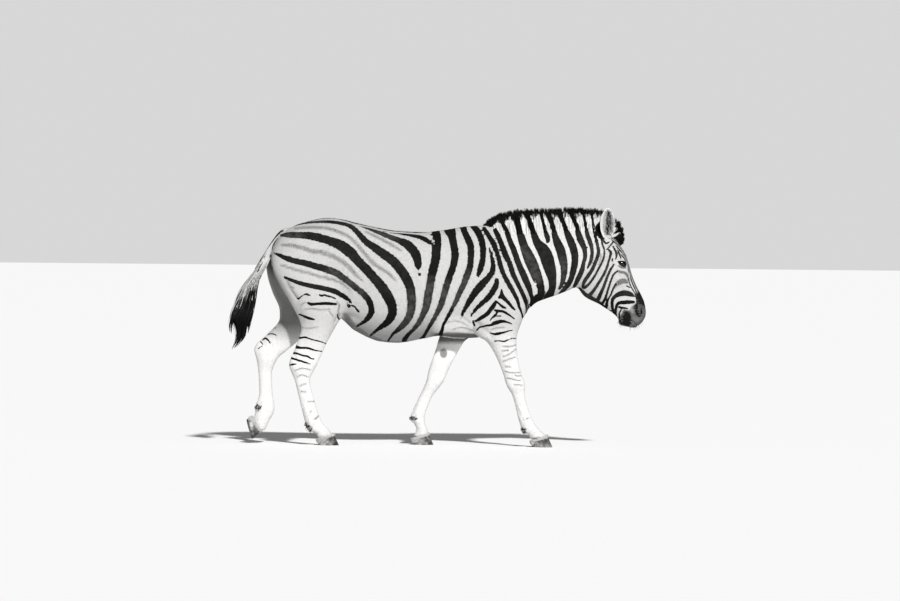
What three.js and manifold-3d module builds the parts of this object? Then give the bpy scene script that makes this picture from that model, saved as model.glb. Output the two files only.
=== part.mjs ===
// A plains zebra in mid walk, life size, as a still display model.
//
// The animal faces +X with +Z up and its left side towards +Y. The origin is on the floor, under the middle
// of the box round the whole animal. The right forefoot, the right hind foot and the left forefoot carry it;
// the left hind foot has just left the floor behind.
//
// Trunk, neck, head, legs, mane, ears and tail are lofts: rings of points set along a line and closed at both
// ends. The flesh is joined into one solid and parted with thin cuts; hooves, eyes and hair are fitted to it.
// Sizes are in millimetres.
import * as THREE from "three";
import { mergeVertices } from "three/addons/utils/BufferGeometryUtils.js";
import Module from "manifold-3d";

const wasm = await Module();
wasm.setup();

// ---------------------------------------------------------------- driving dimensions

const WITHERS_HEIGHT = 1315; // floor to the top of the shoulder
const TABLE_HEIGHT = 1315; // the withers height that the tables below are drawn at
const SCALE = WITHERS_HEIGHT / TABLE_HEIGHT;
const BOX_MIDDLE_X = -31; // middle of the animal's length, in the tables' frame
const GAP = 0.3; // between neighbouring solids
const CUT = 0.6; // width of the cuts that part the flesh

const HEAD_PITCH = THREE.MathUtils.degToRad(52.6); // nose below the horizontal
const HEAD_AT = [890, 0, 1110]; // the head table's origin, on the line through the cheek
const EYE = { along: 117, up: 142, out: 78, radius: 23 }; // in the head's frame
const NOSTRIL = { along: 431, up: 62, out: 45, size: [17, 9, 12] };
const EAR = { length: 186, width: 92, depth: 46, wall: 7, at: [1003, 58, 1252], lean: 13, turn: 8 };
const HOOF = { length: 118, width: 104, toeHeight: 58, heelHeight: 34, toeSlope: 24, taper: 0.86 };

// ---------------------------------------------------------------- tables of sections
// Trunk, neck, mane and head: [along, bottom, top, half width, waist, crown, keel]. The waist is where a section
// is widest, as a share of its height; crown and keel are the roundness of its upper and lower half, where 2 is
// an ellipse, less is more pointed and more is squarer.

const TRUNK = [
  [-1023, 1080, 1134, 50, 0.5, 2, 2], // buttock
  [-1011, 1056, 1182, 95, 0.5, 2, 2],
  [-963, 961, 1264, 150, 0.55, 2, 2], // root of the tail
  [-909, 880, 1301, 178, 0.56, 2, 2],
  [-849, 832, 1328, 195, 0.56, 2.1, 2],
  [-681, 783, 1363, 216, 0.57, 2.1, 2], // croup
  [-603, 754, 1356, 221, 0.55, 2.1, 2.1], // point of the hip
  [-519, 683, 1337, 229, 0.5, 2.1, 2.2], // flank
  [-357, 617, 1302, 256, 0.45, 2.05, 2.2],
  [-273, 611, 1291, 262, 0.44, 2, 2.2], // belly
  [-99, 639, 1284, 250, 0.44, 2, 2.15],
  [-9, 655, 1294, 235, 0.44, 1.95, 2.1],
  [171, 644, 1319, 206, 0.42, 1.75, 2.1], // withers
  [249, 651, 1315, 199, 0.42, 1.7, 2.1], // elbow
  [387, 685, 1243, 180, 0.43, 1.9, 2.1],
  [441, 713, 1172, 162, 0.45, 2, 2.1], // point of the shoulder
  [510, 801, 987, 105, 0.5, 2, 2],
  [525, 843, 909, 55, 0.5, 2, 2], // breast
];

const NECK = [
  [150, 940, 1270, 105, 0.45, 1.8, 2],
  [270, 885, 1305, 130, 0.42, 1.7, 2],
  [330, 850, 1292, 135, 0.4, 1.7, 2],
  [408, 825, 1288, 131, 0.4, 1.7, 2],
  [468, 828, 1288, 122, 0.4, 1.7, 2],
  [589, 869, 1293, 102, 0.4, 1.75, 2], // middle of the neck
  [817, 963, 1311, 84, 0.46, 1.9, 2], // throat
  [913, 1050, 1305, 78, 0.5, 2, 2],
  [961, 1135, 1293, 66, 0.5, 2, 2], // poll
  [997, 1205, 1266, 40, 0.5, 2, 2],
];

// The mane, from the withers over the poll and down to the tip of the forelock.
const MANE = [
  [262, 1285, 1315, 8, 0.4, 2, 3],
  [285, 1270, 1344, 20, 0.3, 2, 3],
  [370, 1262, 1399, 30, 0.25, 2, 3],
  [520, 1262, 1426, 33, 0.25, 2, 3],
  [920, 1278, 1434, 33, 0.25, 2, 3],
  [1010, 1235, 1410, 34, 0.3, 2, 3],
  [1075, 1208, 1344, 32, 0.4, 2, 3],
  [1094, 1206, 1300, 26, 0.45, 2, 3],
  [1102, 1212, 1260, 14, 0.5, 2, 3],
];

// The head along its own line, from behind the poll to the lips.
const HEAD = [
  [-104, 20, 172, 48, 0.5, 2, 2],
  [-8, -98, 207, 83, 0.66, 2.2, 2.1], // forehead
  [90, -153, 201, 98, 0.77, 2.4, 2.3],
  [126, -155, 189, 99, 0.79, 2.4, 2.3], // eye
  [252, -104, 146, 70, 0.62, 2.1, 2.3],
  [372, -71, 123, 57, 0.55, 2.2, 2.3],
  [402, -82, 112, 59, 0.57, 2.3, 2.2], // chin
  [456, -48, 77, 48, 0.55, 2.2, 2.2],
  [471, -32, 52, 36, 0.5, 2, 2],
  [480, -10, 20, 16, 0.5, 2, 2], // lips
];

// Legs and tail: [up, rear, front, middle of the width from the animal's middle, half width, roundness].

const HIND_PLANTED = [
  [40, -736, -628, 110, 44, 2.2], // coronet
  [63, -739, -640, 110, 38, 2.2],
  [98, -797, -667, 110, 34, 2.1],
  [146, -811, -709, 110, 35, 2.1], // fetlock
  [266, -843, -751, 112, 27, 2.3], // cannon
  [386, -874, -778, 115, 33, 2.3],
  [482, -908, -737, 117, 42, 2.1], // hock
  [548, -886, -707, 119, 38, 1.9],
  [596, -867, -688, 121, 45, 1.9],
  [698, -839, -634, 125, 70, 2], // gaskin
  [854, -905, -560, 122, 96, 2.1], // stifle
  [926, -942, -556, 120, 101, 2.1],
  [1082, -1008, -600, 108, 90, 2],
  [1166, -990, -650, 95, 70, 2],
  [1226, -935, -720, 85, 40, 2],
];

const HIND_LIFTED = [
  [80, -1108, -1052, 118, 34, 2.1], // coronet
  [130, -1136, -1031, 118, 35, 2.1],
  [186, -1117, -1002, 118, 36, 2.1],
  [216, -1116, -997, 118, 36, 2.1], // fetlock
  [300, -1094, -1010, 118, 28, 2.2],
  [414, -1099, -1015, 118, 28, 2.3], // cannon
  [504, -1112, -986, 118, 43, 2.2],
  [564, -1127, -922, 119, 40, 2], // hock
  [594, -1115, -885, 120, 38, 1.9],
  [660, -1047, -816, 122, 53, 1.9],
  [756, -975, -728, 124, 82, 2], // gaskin
  [816, -976, -662, 123, 91, 2.1],
  [876, -992, -610, 122, 97, 2.1], // stifle
  [1020, -1036, -572, 114, 100, 2.1],
  [1082, -1043, -600, 108, 92, 2],
  [1166, -1005, -650, 95, 70, 2],
  [1226, -940, -720, 85, 40, 2],
];

const FORE_FORWARD = [
  [50, 533, 646, 106, 44, 2.2], // coronet
  [73, 530, 633, 106, 38, 2.2],
  [93, 494, 608, 106, 33, 2.2],
  [146, 473, 563, 106, 35, 2.1], // fetlock
  [248, 446, 522, 107, 26, 2.3],
  [308, 427, 507, 108, 31, 2.3], // cannon
  [368, 393, 507, 110, 43, 2.5], // knee
  [446, 368, 482, 112, 37, 2.1],
  [595, 297, 455, 118, 54, 2], // forearm
  [631, 266, 453, 120, 61, 2],
  [661, 222, 456, 121, 67, 2], // elbow
  [757, 185, 485, 121, 78, 2.1],
  [847, 184, 508, 116, 80, 2.1], // point of the shoulder
  [966, 201, 477, 104, 74, 2.1],
  [1086, 218, 422, 88, 58, 2],
  [1188, 235, 361, 70, 34, 2],
];

const FORE_BACK = [
  [48, -172, -62, 108, 44, 2.2], // coronet
  [74, -150, -69, 108, 37, 2.2],
  [98, -146, -77, 108, 33, 2.2],
  [128, -160, -89, 108, 35, 2.1],
  [152, -182, -92, 108, 37, 2.1], // fetlock
  [272, -139, -57, 110, 26, 2.3], // cannon
  [387, -88, 22, 112, 43, 2.5], // knee
  [453, -74, 49, 114, 37, 2.1],
  [592, -28, 122, 118, 54, 2], // forearm
  [628, -19, 147, 119, 60, 2],
  [723, 34, 300, 120, 73, 2], // elbow
  [815, 84, 440, 118, 80, 2.1],
  [935, 142, 468, 107, 78, 2.1],
  [1086, 205, 415, 88, 58, 2],
  [1188, 235, 361, 70, 34, 2],
];

// The fleshy dock of the tail, then its switch of long hair.
const DOCK = [
  [1290, -958, -925, 0, 14, 2],
  [1268, -985, -925, 0, 24, 2],
  [1232, -1012, -958, 0, 25, 2],
  [1070, -1113, -1062, 0, 25, 2],
];
const SWITCH = [
  [1070, -1113, -1062, 0, 25, 2],
  [980, -1183, -1092, 0, 35, 2],
  [810, -1257, -1118, 0, 46, 2],
  [690, -1289, -1148, 0, 42, 2],
  [640, -1284, -1172, 0, 36, 2],
  [578, -1254, -1228, 0, 10, 2], // tip
];
const FORELOCK_STARTS = 992; // where the mane is parted from the forelock

// Muscles and bones that stand out from the sections: [x, y, z, reach x, y, z, height]. Heights below nothing
// are hollows. A row with y above nothing is repeated on the other side.
const BODY_FORMS = [
  [-880, 160, 1190, 90, 70, 90, 8], // rump
  [-625, 205, 1235, 60, 60, 55, 10], // point of the hip
  [-500, 225, 1150, 80, 80, 110, -14], // hollow of the flank
  [-940, 125, 1010, 80, 80, 110, 8], // back of the thigh
  [-560, 180, 860, 60, 60, 80, 8], // stifle
  [445, 140, 960, 70, 80, 80, 12], // point of the shoulder
  [330, 180, 1010, 60, 60, 150, 8], // shoulder blade
  [235, 185, 780, 70, 60, 70, 10], // upper arm
  [455, 60, 800, 60, 50, 70, 10], // breast
];
const HEAD_FORMS = [
  [60, 80, -70, 70, 60, 60, 8], // cheek muscle
  [118, 95, 165, 34, 30, 22, 8], // brow over the eye
  [190, 75, 70, 60, 40, 14, 6], // cheek ridge
  [300, 60, 40, 60, 40, 45, -7], // hollow before the cheek
  [428, 50, 66, 26, 30, 24, 6], // nostril wing
  [402, 20, -80, 24, 40, 24, 5], // chin
];

// ---------------------------------------------------------------- lofts

// Rows at about an even spacing, by a cubic that runs through the rows of a table and never overshoots them.
function resampled(rows, spacing) {
  const slope = (i, c) => (rows[i + 1][c] - rows[i][c]) / (rows[i + 1][0] - rows[i][0]);
  const tangent = (i, c) => {
    if (i === 0) return slope(0, c);
    if (i === rows.length - 1) return slope(i - 1, c);
    const before = slope(i - 1, c);
    const after = slope(i, c);
    return before * after <= 0 ? 0 : (2 * before * after) / (before + after);
  };
  const made = [];
  for (let i = 0; i < rows.length - 1; i++) {
    const step = rows[i + 1][0] - rows[i][0];
    const count = Math.max(1, Math.round(Math.abs(step) / spacing));
    for (let k = 0; k < count; k++) {
      const t = k / count;
      made.push(
        rows[i].map((value, c) => {
          if (c === 0) return value + t * step;
          const [t2, t3] = [t * t, t * t * t];
          return (
            (2 * t3 - 3 * t2 + 1) * value +
            (t3 - 2 * t2 + t) * step * tangent(i, c) +
            (3 * t2 - 2 * t3) * rows[i + 1][c] +
            (t3 - t2) * step * tangent(i + 1, c)
          );
        }),
      );
    }
  }
  made.push(rows.at(-1));
  return made;
}

// A power that keeps the sign, for rounded sections.
const power = (value, n) => Math.sign(value) * Math.abs(value) ** n;

// One point of a ring round a vertical section, at an angle from the widest place.
function sectionPoint([along, bottom, top, half, waist, crown, keel], angle, grow) {
  const middle = bottom + waist * (top - bottom);
  const [c, s] = [Math.cos(angle), Math.sin(angle)];
  const roundness = 2 / (s > 0 ? crown : keel);
  const reach = s > 0 ? top - middle : middle - bottom;
  return [along, (half + grow) * power(c, roundness), middle + (reach + grow) * power(s, roundness)];
}

// One point of a ring round a level section of a leg or the tail; side is 1 for the left and -1 for the right.
function limbPoint([up, rear, front, middle, half, roundness], angle, grow, side) {
  const [c, s] = [Math.cos(angle), Math.sin(angle)];
  const reach = (front - rear) / 2 + grow;
  const across = side * middle + (half + grow) * power(s, 2 / roundness);
  return [(front + rear) / 2 + reach * power(c, 2 / roundness), across, up];
}

// Pushes a point out from, or in towards, the middle of its ring by the forms near it.
function shaped(point, centre, forms) {
  const p = new THREE.Vector3(...point);
  const out = p.clone().sub(centre).normalize();
  let push = 0;
  for (const [x, y, z, rx, ry, rz, height] of forms) {
    for (const side of y > 0 ? [1, -1] : [1]) {
      const d = ((p.x - x) / rx) ** 2 + ((p.y - side * y) / ry) ** 2 + ((p.z - z) / rz) ** 2;
      push += height * Math.exp(-d);
    }
  }
  return p.addScaledVector(out, push).toArray();
}

// Closes rings of points, all of the same count, into one solid.
function closeRings(rings) {
  const count = rings[0].length;
  const middles = [rings[0], rings.at(-1)].map((ring) =>
    ring.reduce((sum, p) => sum.map((v, k) => v + p[k] / count), [0, 0, 0]),
  );
  const points = [...rings.flat(), ...middles];
  const [first, last] = [points.length - 2, points.length - 1];
  const faces = [];
  for (let j = 0; j < count; j++) {
    const next = (j + 1) % count;
    faces.push(first, next, j);
    faces.push(last, (rings.length - 1) * count + j, (rings.length - 1) * count + next);
    for (let i = 0; i < rings.length - 1; i++) {
      const [a, b] = [i * count + j, i * count + next];
      faces.push(a, b, b + count, a, b + count, a + count);
    }
  }
  const geometry = new THREE.BufferGeometry();
  geometry.setAttribute("position", new THREE.Float32BufferAttribute(points.flat(), 3));
  geometry.setIndex(faces);
  return solidOf(geometry);
}

function ringsOf(rows, sides, pointAt, forms) {
  return rows.map((row) => {
    const ring = Array.from({ length: sides }, (_, j) => pointAt(row, (2 * Math.PI * j) / sides));
    const sum = ring.reduce((t, p) => t.add(new THREE.Vector3(...p)), new THREE.Vector3());
    return forms ? ring.map((p) => shaped(p, sum.clone().divideScalar(sides), forms)) : ring;
  });
}

function bodyLoft(table, { spacing = 60, sides = 20, grow = 0, forms = null } = {}) {
  const rows = resampled(table, spacing);
  return closeRings(ringsOf(rows, sides, (row, angle) => sectionPoint(row, angle, grow), forms));
}

function limbLoft(table, side, { spacing = 55, sides = 12, grow = 0, forms = null } = {}) {
  const rows = resampled(table, spacing);
  return closeRings(ringsOf(rows, sides, (row, angle) => limbPoint(row, angle, grow, side), forms));
}

// ---------------------------------------------------------------- solids

// A three.js geometry as a solid that can be joined and cut.
function solidOf(geometry) {
  const bare = geometry.clone();
  for (const name of ["normal", "uv"]) bare.deleteAttribute(name);
  const merged = mergeVertices(bare, 1e-4);
  const mesh = new wasm.Mesh({
    numProp: 3,
    vertProperties: merged.getAttribute("position").array,
    triVerts: new Uint32Array(merged.getIndex().array),
  });
  const solid = new wasm.Manifold(mesh);
  if (solid.volume() > 0) return solid;
  const turned = new Uint32Array(mesh.triVerts).reverse();
  return new wasm.Manifold(new wasm.Mesh({ numProp: 3, vertProperties: mesh.vertProperties, triVerts: turned }));
}

function geometryOf(solid) {
  const mesh = solid.getMesh();
  const geometry = new THREE.BufferGeometry();
  geometry.setAttribute("position", new THREE.BufferAttribute(mesh.vertProperties.slice(), 3));
  geometry.setIndex(new THREE.BufferAttribute(mesh.triVerts.slice(), 1));
  geometry.computeVertexNormals();
  return geometry;
}

// A solid of the head's own frame, set in the animal's frame.
function onHead(solid) {
  return solid.rotate([0, THREE.MathUtils.radToDeg(HEAD_PITCH), 0]).translate(HEAD_AT);
}

function ball(radius, detail = 2) {
  return solidOf(new THREE.IcosahedronGeometry(radius, detail));
}

// A thin slab between two points of the side view, that parts the flesh over a width.
function slab([x0, z0], [x1, z1], [y0, y1]) {
  const length = Math.hypot(x1 - x0, z1 - z0);
  const box = solidOf(new THREE.BoxGeometry(length, y1 - y0, CUT));
  const tilt = THREE.MathUtils.radToDeg(-Math.atan2(z1 - z0, x1 - x0));
  return box.rotate([0, tilt, 0]).translate([(x0 + x1) / 2, (y0 + y1) / 2, (z0 + z1) / 2]);
}

// ---------------------------------------------------------------- flesh

const headSolid = (grow) => onHead(bodyLoft(HEAD, { spacing: 36, sides: 20, grow, forms: HEAD_FORMS }));
const neckSolid = (grow) => bodyLoft(NECK, { sides: 18, grow });
const trunkSolid = (grow) => bodyLoft(TRUNK, { spacing: 70, sides: 24, grow, forms: BODY_FORMS });

const eyeCentre = (side) => [EYE.along, side * EYE.out, EYE.up];
const eyeball = (side, grow = 0) => onHead(ball(EYE.radius + grow).translate(eyeCentre(side)));

function nostril(side) {
  const { along, out, up, size } = NOSTRIL;
  return onHead(ball(1, 1).scale(size).rotate([0, -35, side * 25]).translate([along, side * (out + 8), up]));
}

// ---------------------------------------------------------------- hooves

// A hoof from its flat sole up to the slanted coronet, in its own frame with the middle of the sole at zero.
function hoof(grow = 0) {
  const { length, width, toeHeight, heelHeight, toeSlope, taper } = HOOF;
  const sides = 18;
  const layers = [0, 0.12, 0.55, 1];
  const rings = layers.map((level) =>
    Array.from({ length: sides }, (_, j) => {
      const angle = (2 * Math.PI * j) / sides;
      const [c, s] = [Math.cos(angle), Math.sin(angle)];
      const share = 1 - (1 - taper) * level;
      const height = heelHeight + ((toeHeight - heelHeight) * (c + 1)) / 2;
      const lift = level === 0 ? -grow : level * height + grow * level;
      const edge = level === 0 ? 0.97 : 1;
      return [
        (length / 2) * share * edge * power(c, 0.85) - toeSlope * level + grow * c,
        ((width / 2) * share * edge + grow) * power(s, 0.85),
        lift,
      ];
    }),
  );
  return closeRings(rings);
}

// Where each hoof stands: the middle of the sole, the tip of the toe's height and its turn.
const HOOVES = {
  hoof_hind_right: { at: [-671, -110, 0], pitch: 0 },
  hoof_fore_right: { at: [614, -106, 0], pitch: 0 },
  hoof_fore_left: { at: [-104, 108, 0], pitch: 0 },
  hoof_hind_left: { at: [-1150, 118, 80], pitch: 73 },
};

function placedHoof(name, grow = 0) {
  const { at, pitch } = HOOVES[name];
  return hoof(grow).rotate([0, pitch, 0]).translate(at);
}

// ---------------------------------------------------------------- ears, mane and tail

// A cupped ear with a thin wall, open to the side: rings that go round the back and return along the inside.
function ear(side, grow = 0) {
  const { length, width, depth, wall, at, lean, turn } = EAR;
  const steps = 9;
  const arc = 7;
  const rings = [];
  for (let i = 0; i <= steps; i++) {
    const t = i / steps;
    const swell = Math.sin(Math.PI * Math.min(1, 0.16 + 0.84 * t)) ** 0.62;
    const half = Math.max(2.5, (width / 2) * swell * (1 - 0.12 * t)) + grow;
    const deep = Math.max(3, depth * (1 - 0.62 * t) * swell) + grow;
    const thin = Math.min(wall, half * 0.5) + 2 * grow;
    const outer = [];
    const inner = [];
    for (let k = 0; k <= arc; k++) {
      const angle = Math.PI * (k / arc);
      outer.push([half * Math.cos(angle), deep * Math.sin(angle) ** 0.9, t * length]);
      const inside = [(half - thin * 0.6) * Math.cos(angle), (deep - thin) * Math.sin(angle) - 1, t * length];
      inner.unshift(inside);
    }
    rings.push([...outer, ...inner]);
  }
  const solid = closeRings(rings).rotate([0, 0, turn]).rotate([lean, 0, 0]);
  const placed = side < 0 ? solid : solid.mirror([0, 1, 0]);
  return placed.translate([at[0], side * at[1], at[2]]);
}

// ---------------------------------------------------------------- putting it together

const legs = {
  hind_leg_right: limbLoft(HIND_PLANTED, -1, { forms: BODY_FORMS }),
  hind_leg_left: limbLoft(HIND_LIFTED, 1, { forms: BODY_FORMS }),
  fore_leg_right: limbLoft(FORE_FORWARD, -1, { forms: BODY_FORMS }),
  fore_leg_left: limbLoft(FORE_BACK, 1, { forms: BODY_FORMS }),
};

let flesh = trunkSolid(0).add(neckSolid(0)).add(headSolid(0));
for (const leg of Object.values(legs)) flesh = flesh.add(leg);
for (const name of Object.keys(HOOVES)) flesh = flesh.subtract(placedHoof(name, GAP));
for (const side of [-1, 1]) flesh = flesh.subtract(eyeball(side, GAP)).subtract(nostril(side));

const CUTS = [
  slab([240, 1340], [560, 800], [-320, 320]), // neck from trunk
  slab([985, 1330], [790, 930], [-150, 150]), // head from neck
  slab([-900, 742], [-598, 742], [-260, -5]), // right hind leg
  slab([-1020, 742], [-640, 742], [5, 260]), // left hind leg
  slab([150, 638], [520, 638], [-230, -5]), // right foreleg
  slab([-60, 638], [230, 638], [5, 230]), // left foreleg
];
for (const cut of CUTS) flesh = flesh.subtract(cut);

// A point inside each piece of the parted flesh.
const INSIDE = {
  trunk: [-270, 0, 950],
  neck: [640, 0, 1100],
  head: [1080, 0, 900],
  hind_leg_right: [-850, -116, 420],
  hind_leg_left: [-1055, 118, 420],
  fore_leg_right: [450, -110, 368],
  fore_leg_left: [-35, 112, 387],
};

function contains(solid, [x, y, z]) {
  const { min, max } = solid.boundingBox();
  return x > min[0] && x < max[0] && y > min[1] && y < max[1] && z > min[2] && z < max[2];
}

const MINIMUM_VOLUME = 1e5; // smaller crumbs of a cut are dropped
const pieces = flesh.decompose().filter((piece) => piece.volume() > MINIMUM_VOLUME);
const solids = {};
for (const [name, point] of Object.entries(INSIDE)) {
  const found = pieces.filter((piece) => contains(piece, point)).sort((a, b) => a.volume() - b.volume());
  solids[name] = found[0];
}

for (const name of Object.keys(HOOVES)) solids[name] = placedHoof(name);
solids.eye_right = eyeball(-1);
solids.eye_left = eyeball(1);

const body = trunkSolid(GAP).add(neckSolid(GAP)).add(headSolid(GAP));
const crest = bodyLoft(MANE, { spacing: 45, sides: 10 }).subtract(body);
const [mane, forelock] = [
  crest.trimByPlane([-1, 0, 0], -FORELOCK_STARTS + GAP),
  crest.trimByPlane([1, 0, 0], FORELOCK_STARTS),
];
const hair = mane.add(forelock);
for (const [name, side] of [["ear_right", -1], ["ear_left", 1]]) {
  solids[name] = largest(ear(side).subtract(body));
}
const ears = ear(-1, GAP).add(ear(1, GAP));
solids.mane = largest(mane.subtract(ears));
solids.forelock = largest(forelock.subtract(ears));

const thighs = legs.hind_leg_left.add(legs.hind_leg_right);
solids.tail_dock = largest(limbLoft(DOCK, 1, { sides: 12 }).subtract(trunkSolid(GAP)).subtract(thighs));
solids.tail_switch = limbLoft(SWITCH, 1, { sides: 14 }).trimByPlane([0, 0, -1], -1070 + GAP);

function largest(solid) {
  return solid.decompose().sort((a, b) => b.volume() - a.volume())[0];
}

// ---------------------------------------------------------------- materials and scene

const MATERIALS = {
  coat: { color: 0xd9d7d2, roughness: 0.75, metalness: 0 },
  dark_hair: { color: 0x1d1b1a, roughness: 0.7, metalness: 0 },
  hoof_horn: { color: 0x5b5651, roughness: 0.5, metalness: 0 },
  eye: { color: 0x14100d, roughness: 0.08, metalness: 0 },
};

function materialFor(name) {
  if (name.startsWith("hoof_")) return MATERIALS.hoof_horn;
  if (name.startsWith("eye_")) return MATERIALS.eye;
  if (["mane", "forelock", "tail_switch"].includes(name)) return MATERIALS.dark_hair;
  return MATERIALS.coat;
}

const zebra = new THREE.Group();
for (const [name, solid] of Object.entries(solids)) {
  const mesh = new THREE.Mesh(geometryOf(solid), new THREE.MeshStandardMaterial(materialFor(name)));
  mesh.name = name;
  zebra.add(mesh);
}
zebra.scale.setScalar(SCALE);
zebra.position.x = -BOX_MIDDLE_X * SCALE;

export default zebra;
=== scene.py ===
# %% [markdown]
# # A plains zebra in mid walk
# This notebook dresses a life-size zebra, whose plain solids come from the frame. One skin replaces the
# solids of flesh, so that no seam shows. The stripes are painted on it as distances, the mane and the tail
# are locks of hair, and the short coat is a bump with small tufts, densest where they break the outline.
# The frame is in metres: +X is forward, +Y is the animal's left, and +Z is up.

# %% Load the frame
import math

import bmesh
import bpy
import numpy as np
from mathutils import Matrix, Vector
from mathutils.kdtree import KDTree


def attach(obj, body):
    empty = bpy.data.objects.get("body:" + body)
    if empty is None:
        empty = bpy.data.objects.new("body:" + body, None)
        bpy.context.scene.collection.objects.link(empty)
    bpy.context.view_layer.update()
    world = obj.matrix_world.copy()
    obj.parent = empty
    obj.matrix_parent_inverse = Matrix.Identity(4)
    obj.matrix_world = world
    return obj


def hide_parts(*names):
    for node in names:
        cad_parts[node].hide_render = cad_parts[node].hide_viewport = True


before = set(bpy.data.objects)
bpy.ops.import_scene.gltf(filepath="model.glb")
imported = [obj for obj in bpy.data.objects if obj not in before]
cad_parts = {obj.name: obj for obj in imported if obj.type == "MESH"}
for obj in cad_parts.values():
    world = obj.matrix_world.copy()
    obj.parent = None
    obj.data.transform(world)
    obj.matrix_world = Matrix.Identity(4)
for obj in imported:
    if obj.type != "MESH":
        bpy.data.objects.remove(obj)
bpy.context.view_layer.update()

# %% [markdown]
# The tables below are drawn in millimetres, in a frame of their own whose zero lies under the withers.
# Two helpers carry points between that frame and the scene's, and two more turn them.

# %% Units and turns
MM = 0.001
TABLE_ZERO = np.array([0.031, 0, 0])  # where the tables' zero lies in the scene, in metres
RNG_SEED = 7
RIGHT, LEFT = -1, 1


def to_scene(points):
    """Table points in millimetres as scene points in metres."""
    return np.asarray(points, float) * MM + TABLE_ZERO


def to_table(points):
    """Scene points in metres as table points in millimetres."""
    return (np.asarray(points, float) - TABLE_ZERO) / MM


def turn_pair(first, second, angle):
    c, s = math.cos(angle), math.sin(angle)
    return c * first + s * second, -s * first + c * second


def pitched(points, angle):
    """Points turned about the axis that runs across the animal."""
    x, z = turn_pair(points[:, 0], points[:, 2], angle)
    return np.column_stack([x, points[:, 1], z])


def unit(vectors):
    return vectors / np.maximum(np.linalg.norm(vectors, axis=-1, keepdims=True), 1e-9)


def ramp(values, low, high):
    """0 up to the low value, 1 from the high value on, and straight between them."""
    return np.clip((values - low) / (high - low), 0, 1)


print("table zero", TABLE_ZERO)

# %% [markdown]
# ## The camera
# The animal is seen square from its right side, from thirty metres off with a long lens, so it is nearly
# free of perspective. The camera stands at chest height and leans very slightly to one side.

# %% Camera
IMAGE = (900, 601)
SENSOR_MM = 36.0
FOCAL_PIXELS = 5000.0
CAMERA_DISTANCE = 30.0
CAMERA_HEIGHT = 1.096
CAMERA_X = TABLE_ZERO[0] + 0.0519
CAMERA_PITCH = math.radians(-0.43)
CAMERA_ROLL = math.radians(-0.53)
CLIP_END = 200

scene = bpy.context.scene
camera_data = bpy.data.cameras.new("camera")
camera_data.sensor_width = SENSOR_MM
camera_data.lens = FOCAL_PIXELS * SENSOR_MM / IMAGE[0]
camera_data.clip_end = CLIP_END
camera = bpy.data.objects.new("camera", camera_data)
scene.collection.objects.link(camera)
turned = Matrix.Rotation(math.pi / 2 + CAMERA_PITCH, 4, "X") @ Matrix.Rotation(-CAMERA_ROLL, 4, "Z")
camera.matrix_world = Matrix.Translation((CAMERA_X, -CAMERA_DISTANCE, CAMERA_HEIGHT)) @ turned
scene.camera = camera
print("lens", round(camera_data.lens, 1))

# %% [markdown]
# ## The shape of the body
# A body like this could be sculpted by hand. Here it is measured instead: trunk, neck, head, legs and dock
# are each a row of cross sections, and a distance field joins them with soft fillets, as flesh runs on over
# a joint. The same tables make the solids, so the skin fits them.

# %% Cross sections of trunk, neck and head
# Columns: along, bottom, top, half width, waist, crown, keel. The waist is where the section is widest, as a
# share of its height; crown and keel are the roundness of its upper and lower half, where 2 is an ellipse.
TRUNK = [
    (-1023, 1080, 1134, 50, 0.5, 2, 2),
    (-1011, 1056, 1182, 95, 0.5, 2, 2),
    (-963, 961, 1264, 150, 0.55, 2, 2),
    (-909, 880, 1301, 178, 0.56, 2, 2),
    (-849, 832, 1328, 195, 0.56, 2.1, 2),
    (-681, 783, 1363, 216, 0.57, 2.1, 2),
    (-603, 754, 1356, 221, 0.55, 2.1, 2.1),
    (-519, 683, 1337, 229, 0.5, 2.1, 2.2),
    (-357, 617, 1302, 256, 0.45, 2.05, 2.2),
    (-273, 611, 1291, 262, 0.44, 2, 2.2),
    (-99, 639, 1284, 250, 0.44, 2, 2.15),
    (-9, 655, 1294, 235, 0.44, 1.95, 2.1),
    (171, 644, 1319, 206, 0.42, 1.75, 2.1),
    (249, 651, 1315, 199, 0.42, 1.7, 2.1),
    (387, 685, 1243, 180, 0.43, 1.9, 2.1),
    (441, 713, 1172, 162, 0.45, 2, 2.1),
    (510, 801, 987, 105, 0.5, 2, 2),
    (525, 843, 909, 55, 0.5, 2, 2),
]
NECK = [
    (150, 940, 1270, 105, 0.45, 1.8, 2),
    (270, 885, 1305, 130, 0.42, 1.7, 2),
    (330, 850, 1292, 135, 0.4, 1.7, 2),
    (408, 825, 1288, 131, 0.4, 1.7, 2),
    (468, 828, 1288, 122, 0.4, 1.7, 2),
    (589, 869, 1293, 102, 0.4, 1.75, 2),
    (817, 963, 1311, 84, 0.46, 1.9, 2),
    (913, 1050, 1305, 78, 0.5, 2, 2),
    (961, 1135, 1293, 66, 0.5, 2, 2),
    (997, 1205, 1266, 40, 0.5, 2, 2),
]
HEAD = [
    (-104, 20, 172, 48, 0.5, 2, 2),
    (-8, -98, 207, 83, 0.66, 2.2, 2.1),
    (90, -153, 201, 98, 0.77, 2.4, 2.3),
    (126, -155, 189, 99, 0.79, 2.4, 2.3),
    (252, -104, 146, 70, 0.62, 2.1, 2.3),
    (372, -71, 123, 57, 0.55, 2.2, 2.3),
    (402, -82, 112, 59, 0.57, 2.3, 2.2),
    (456, -48, 77, 48, 0.55, 2.2, 2.2),
    (471, -32, 52, 36, 0.5, 2, 2),
    (480, -10, 20, 16, 0.5, 2, 2),
]
HEAD_AT = np.array([890.0, 0.0, 1110.0])
HEAD_PITCH = math.radians(52.6)

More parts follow.
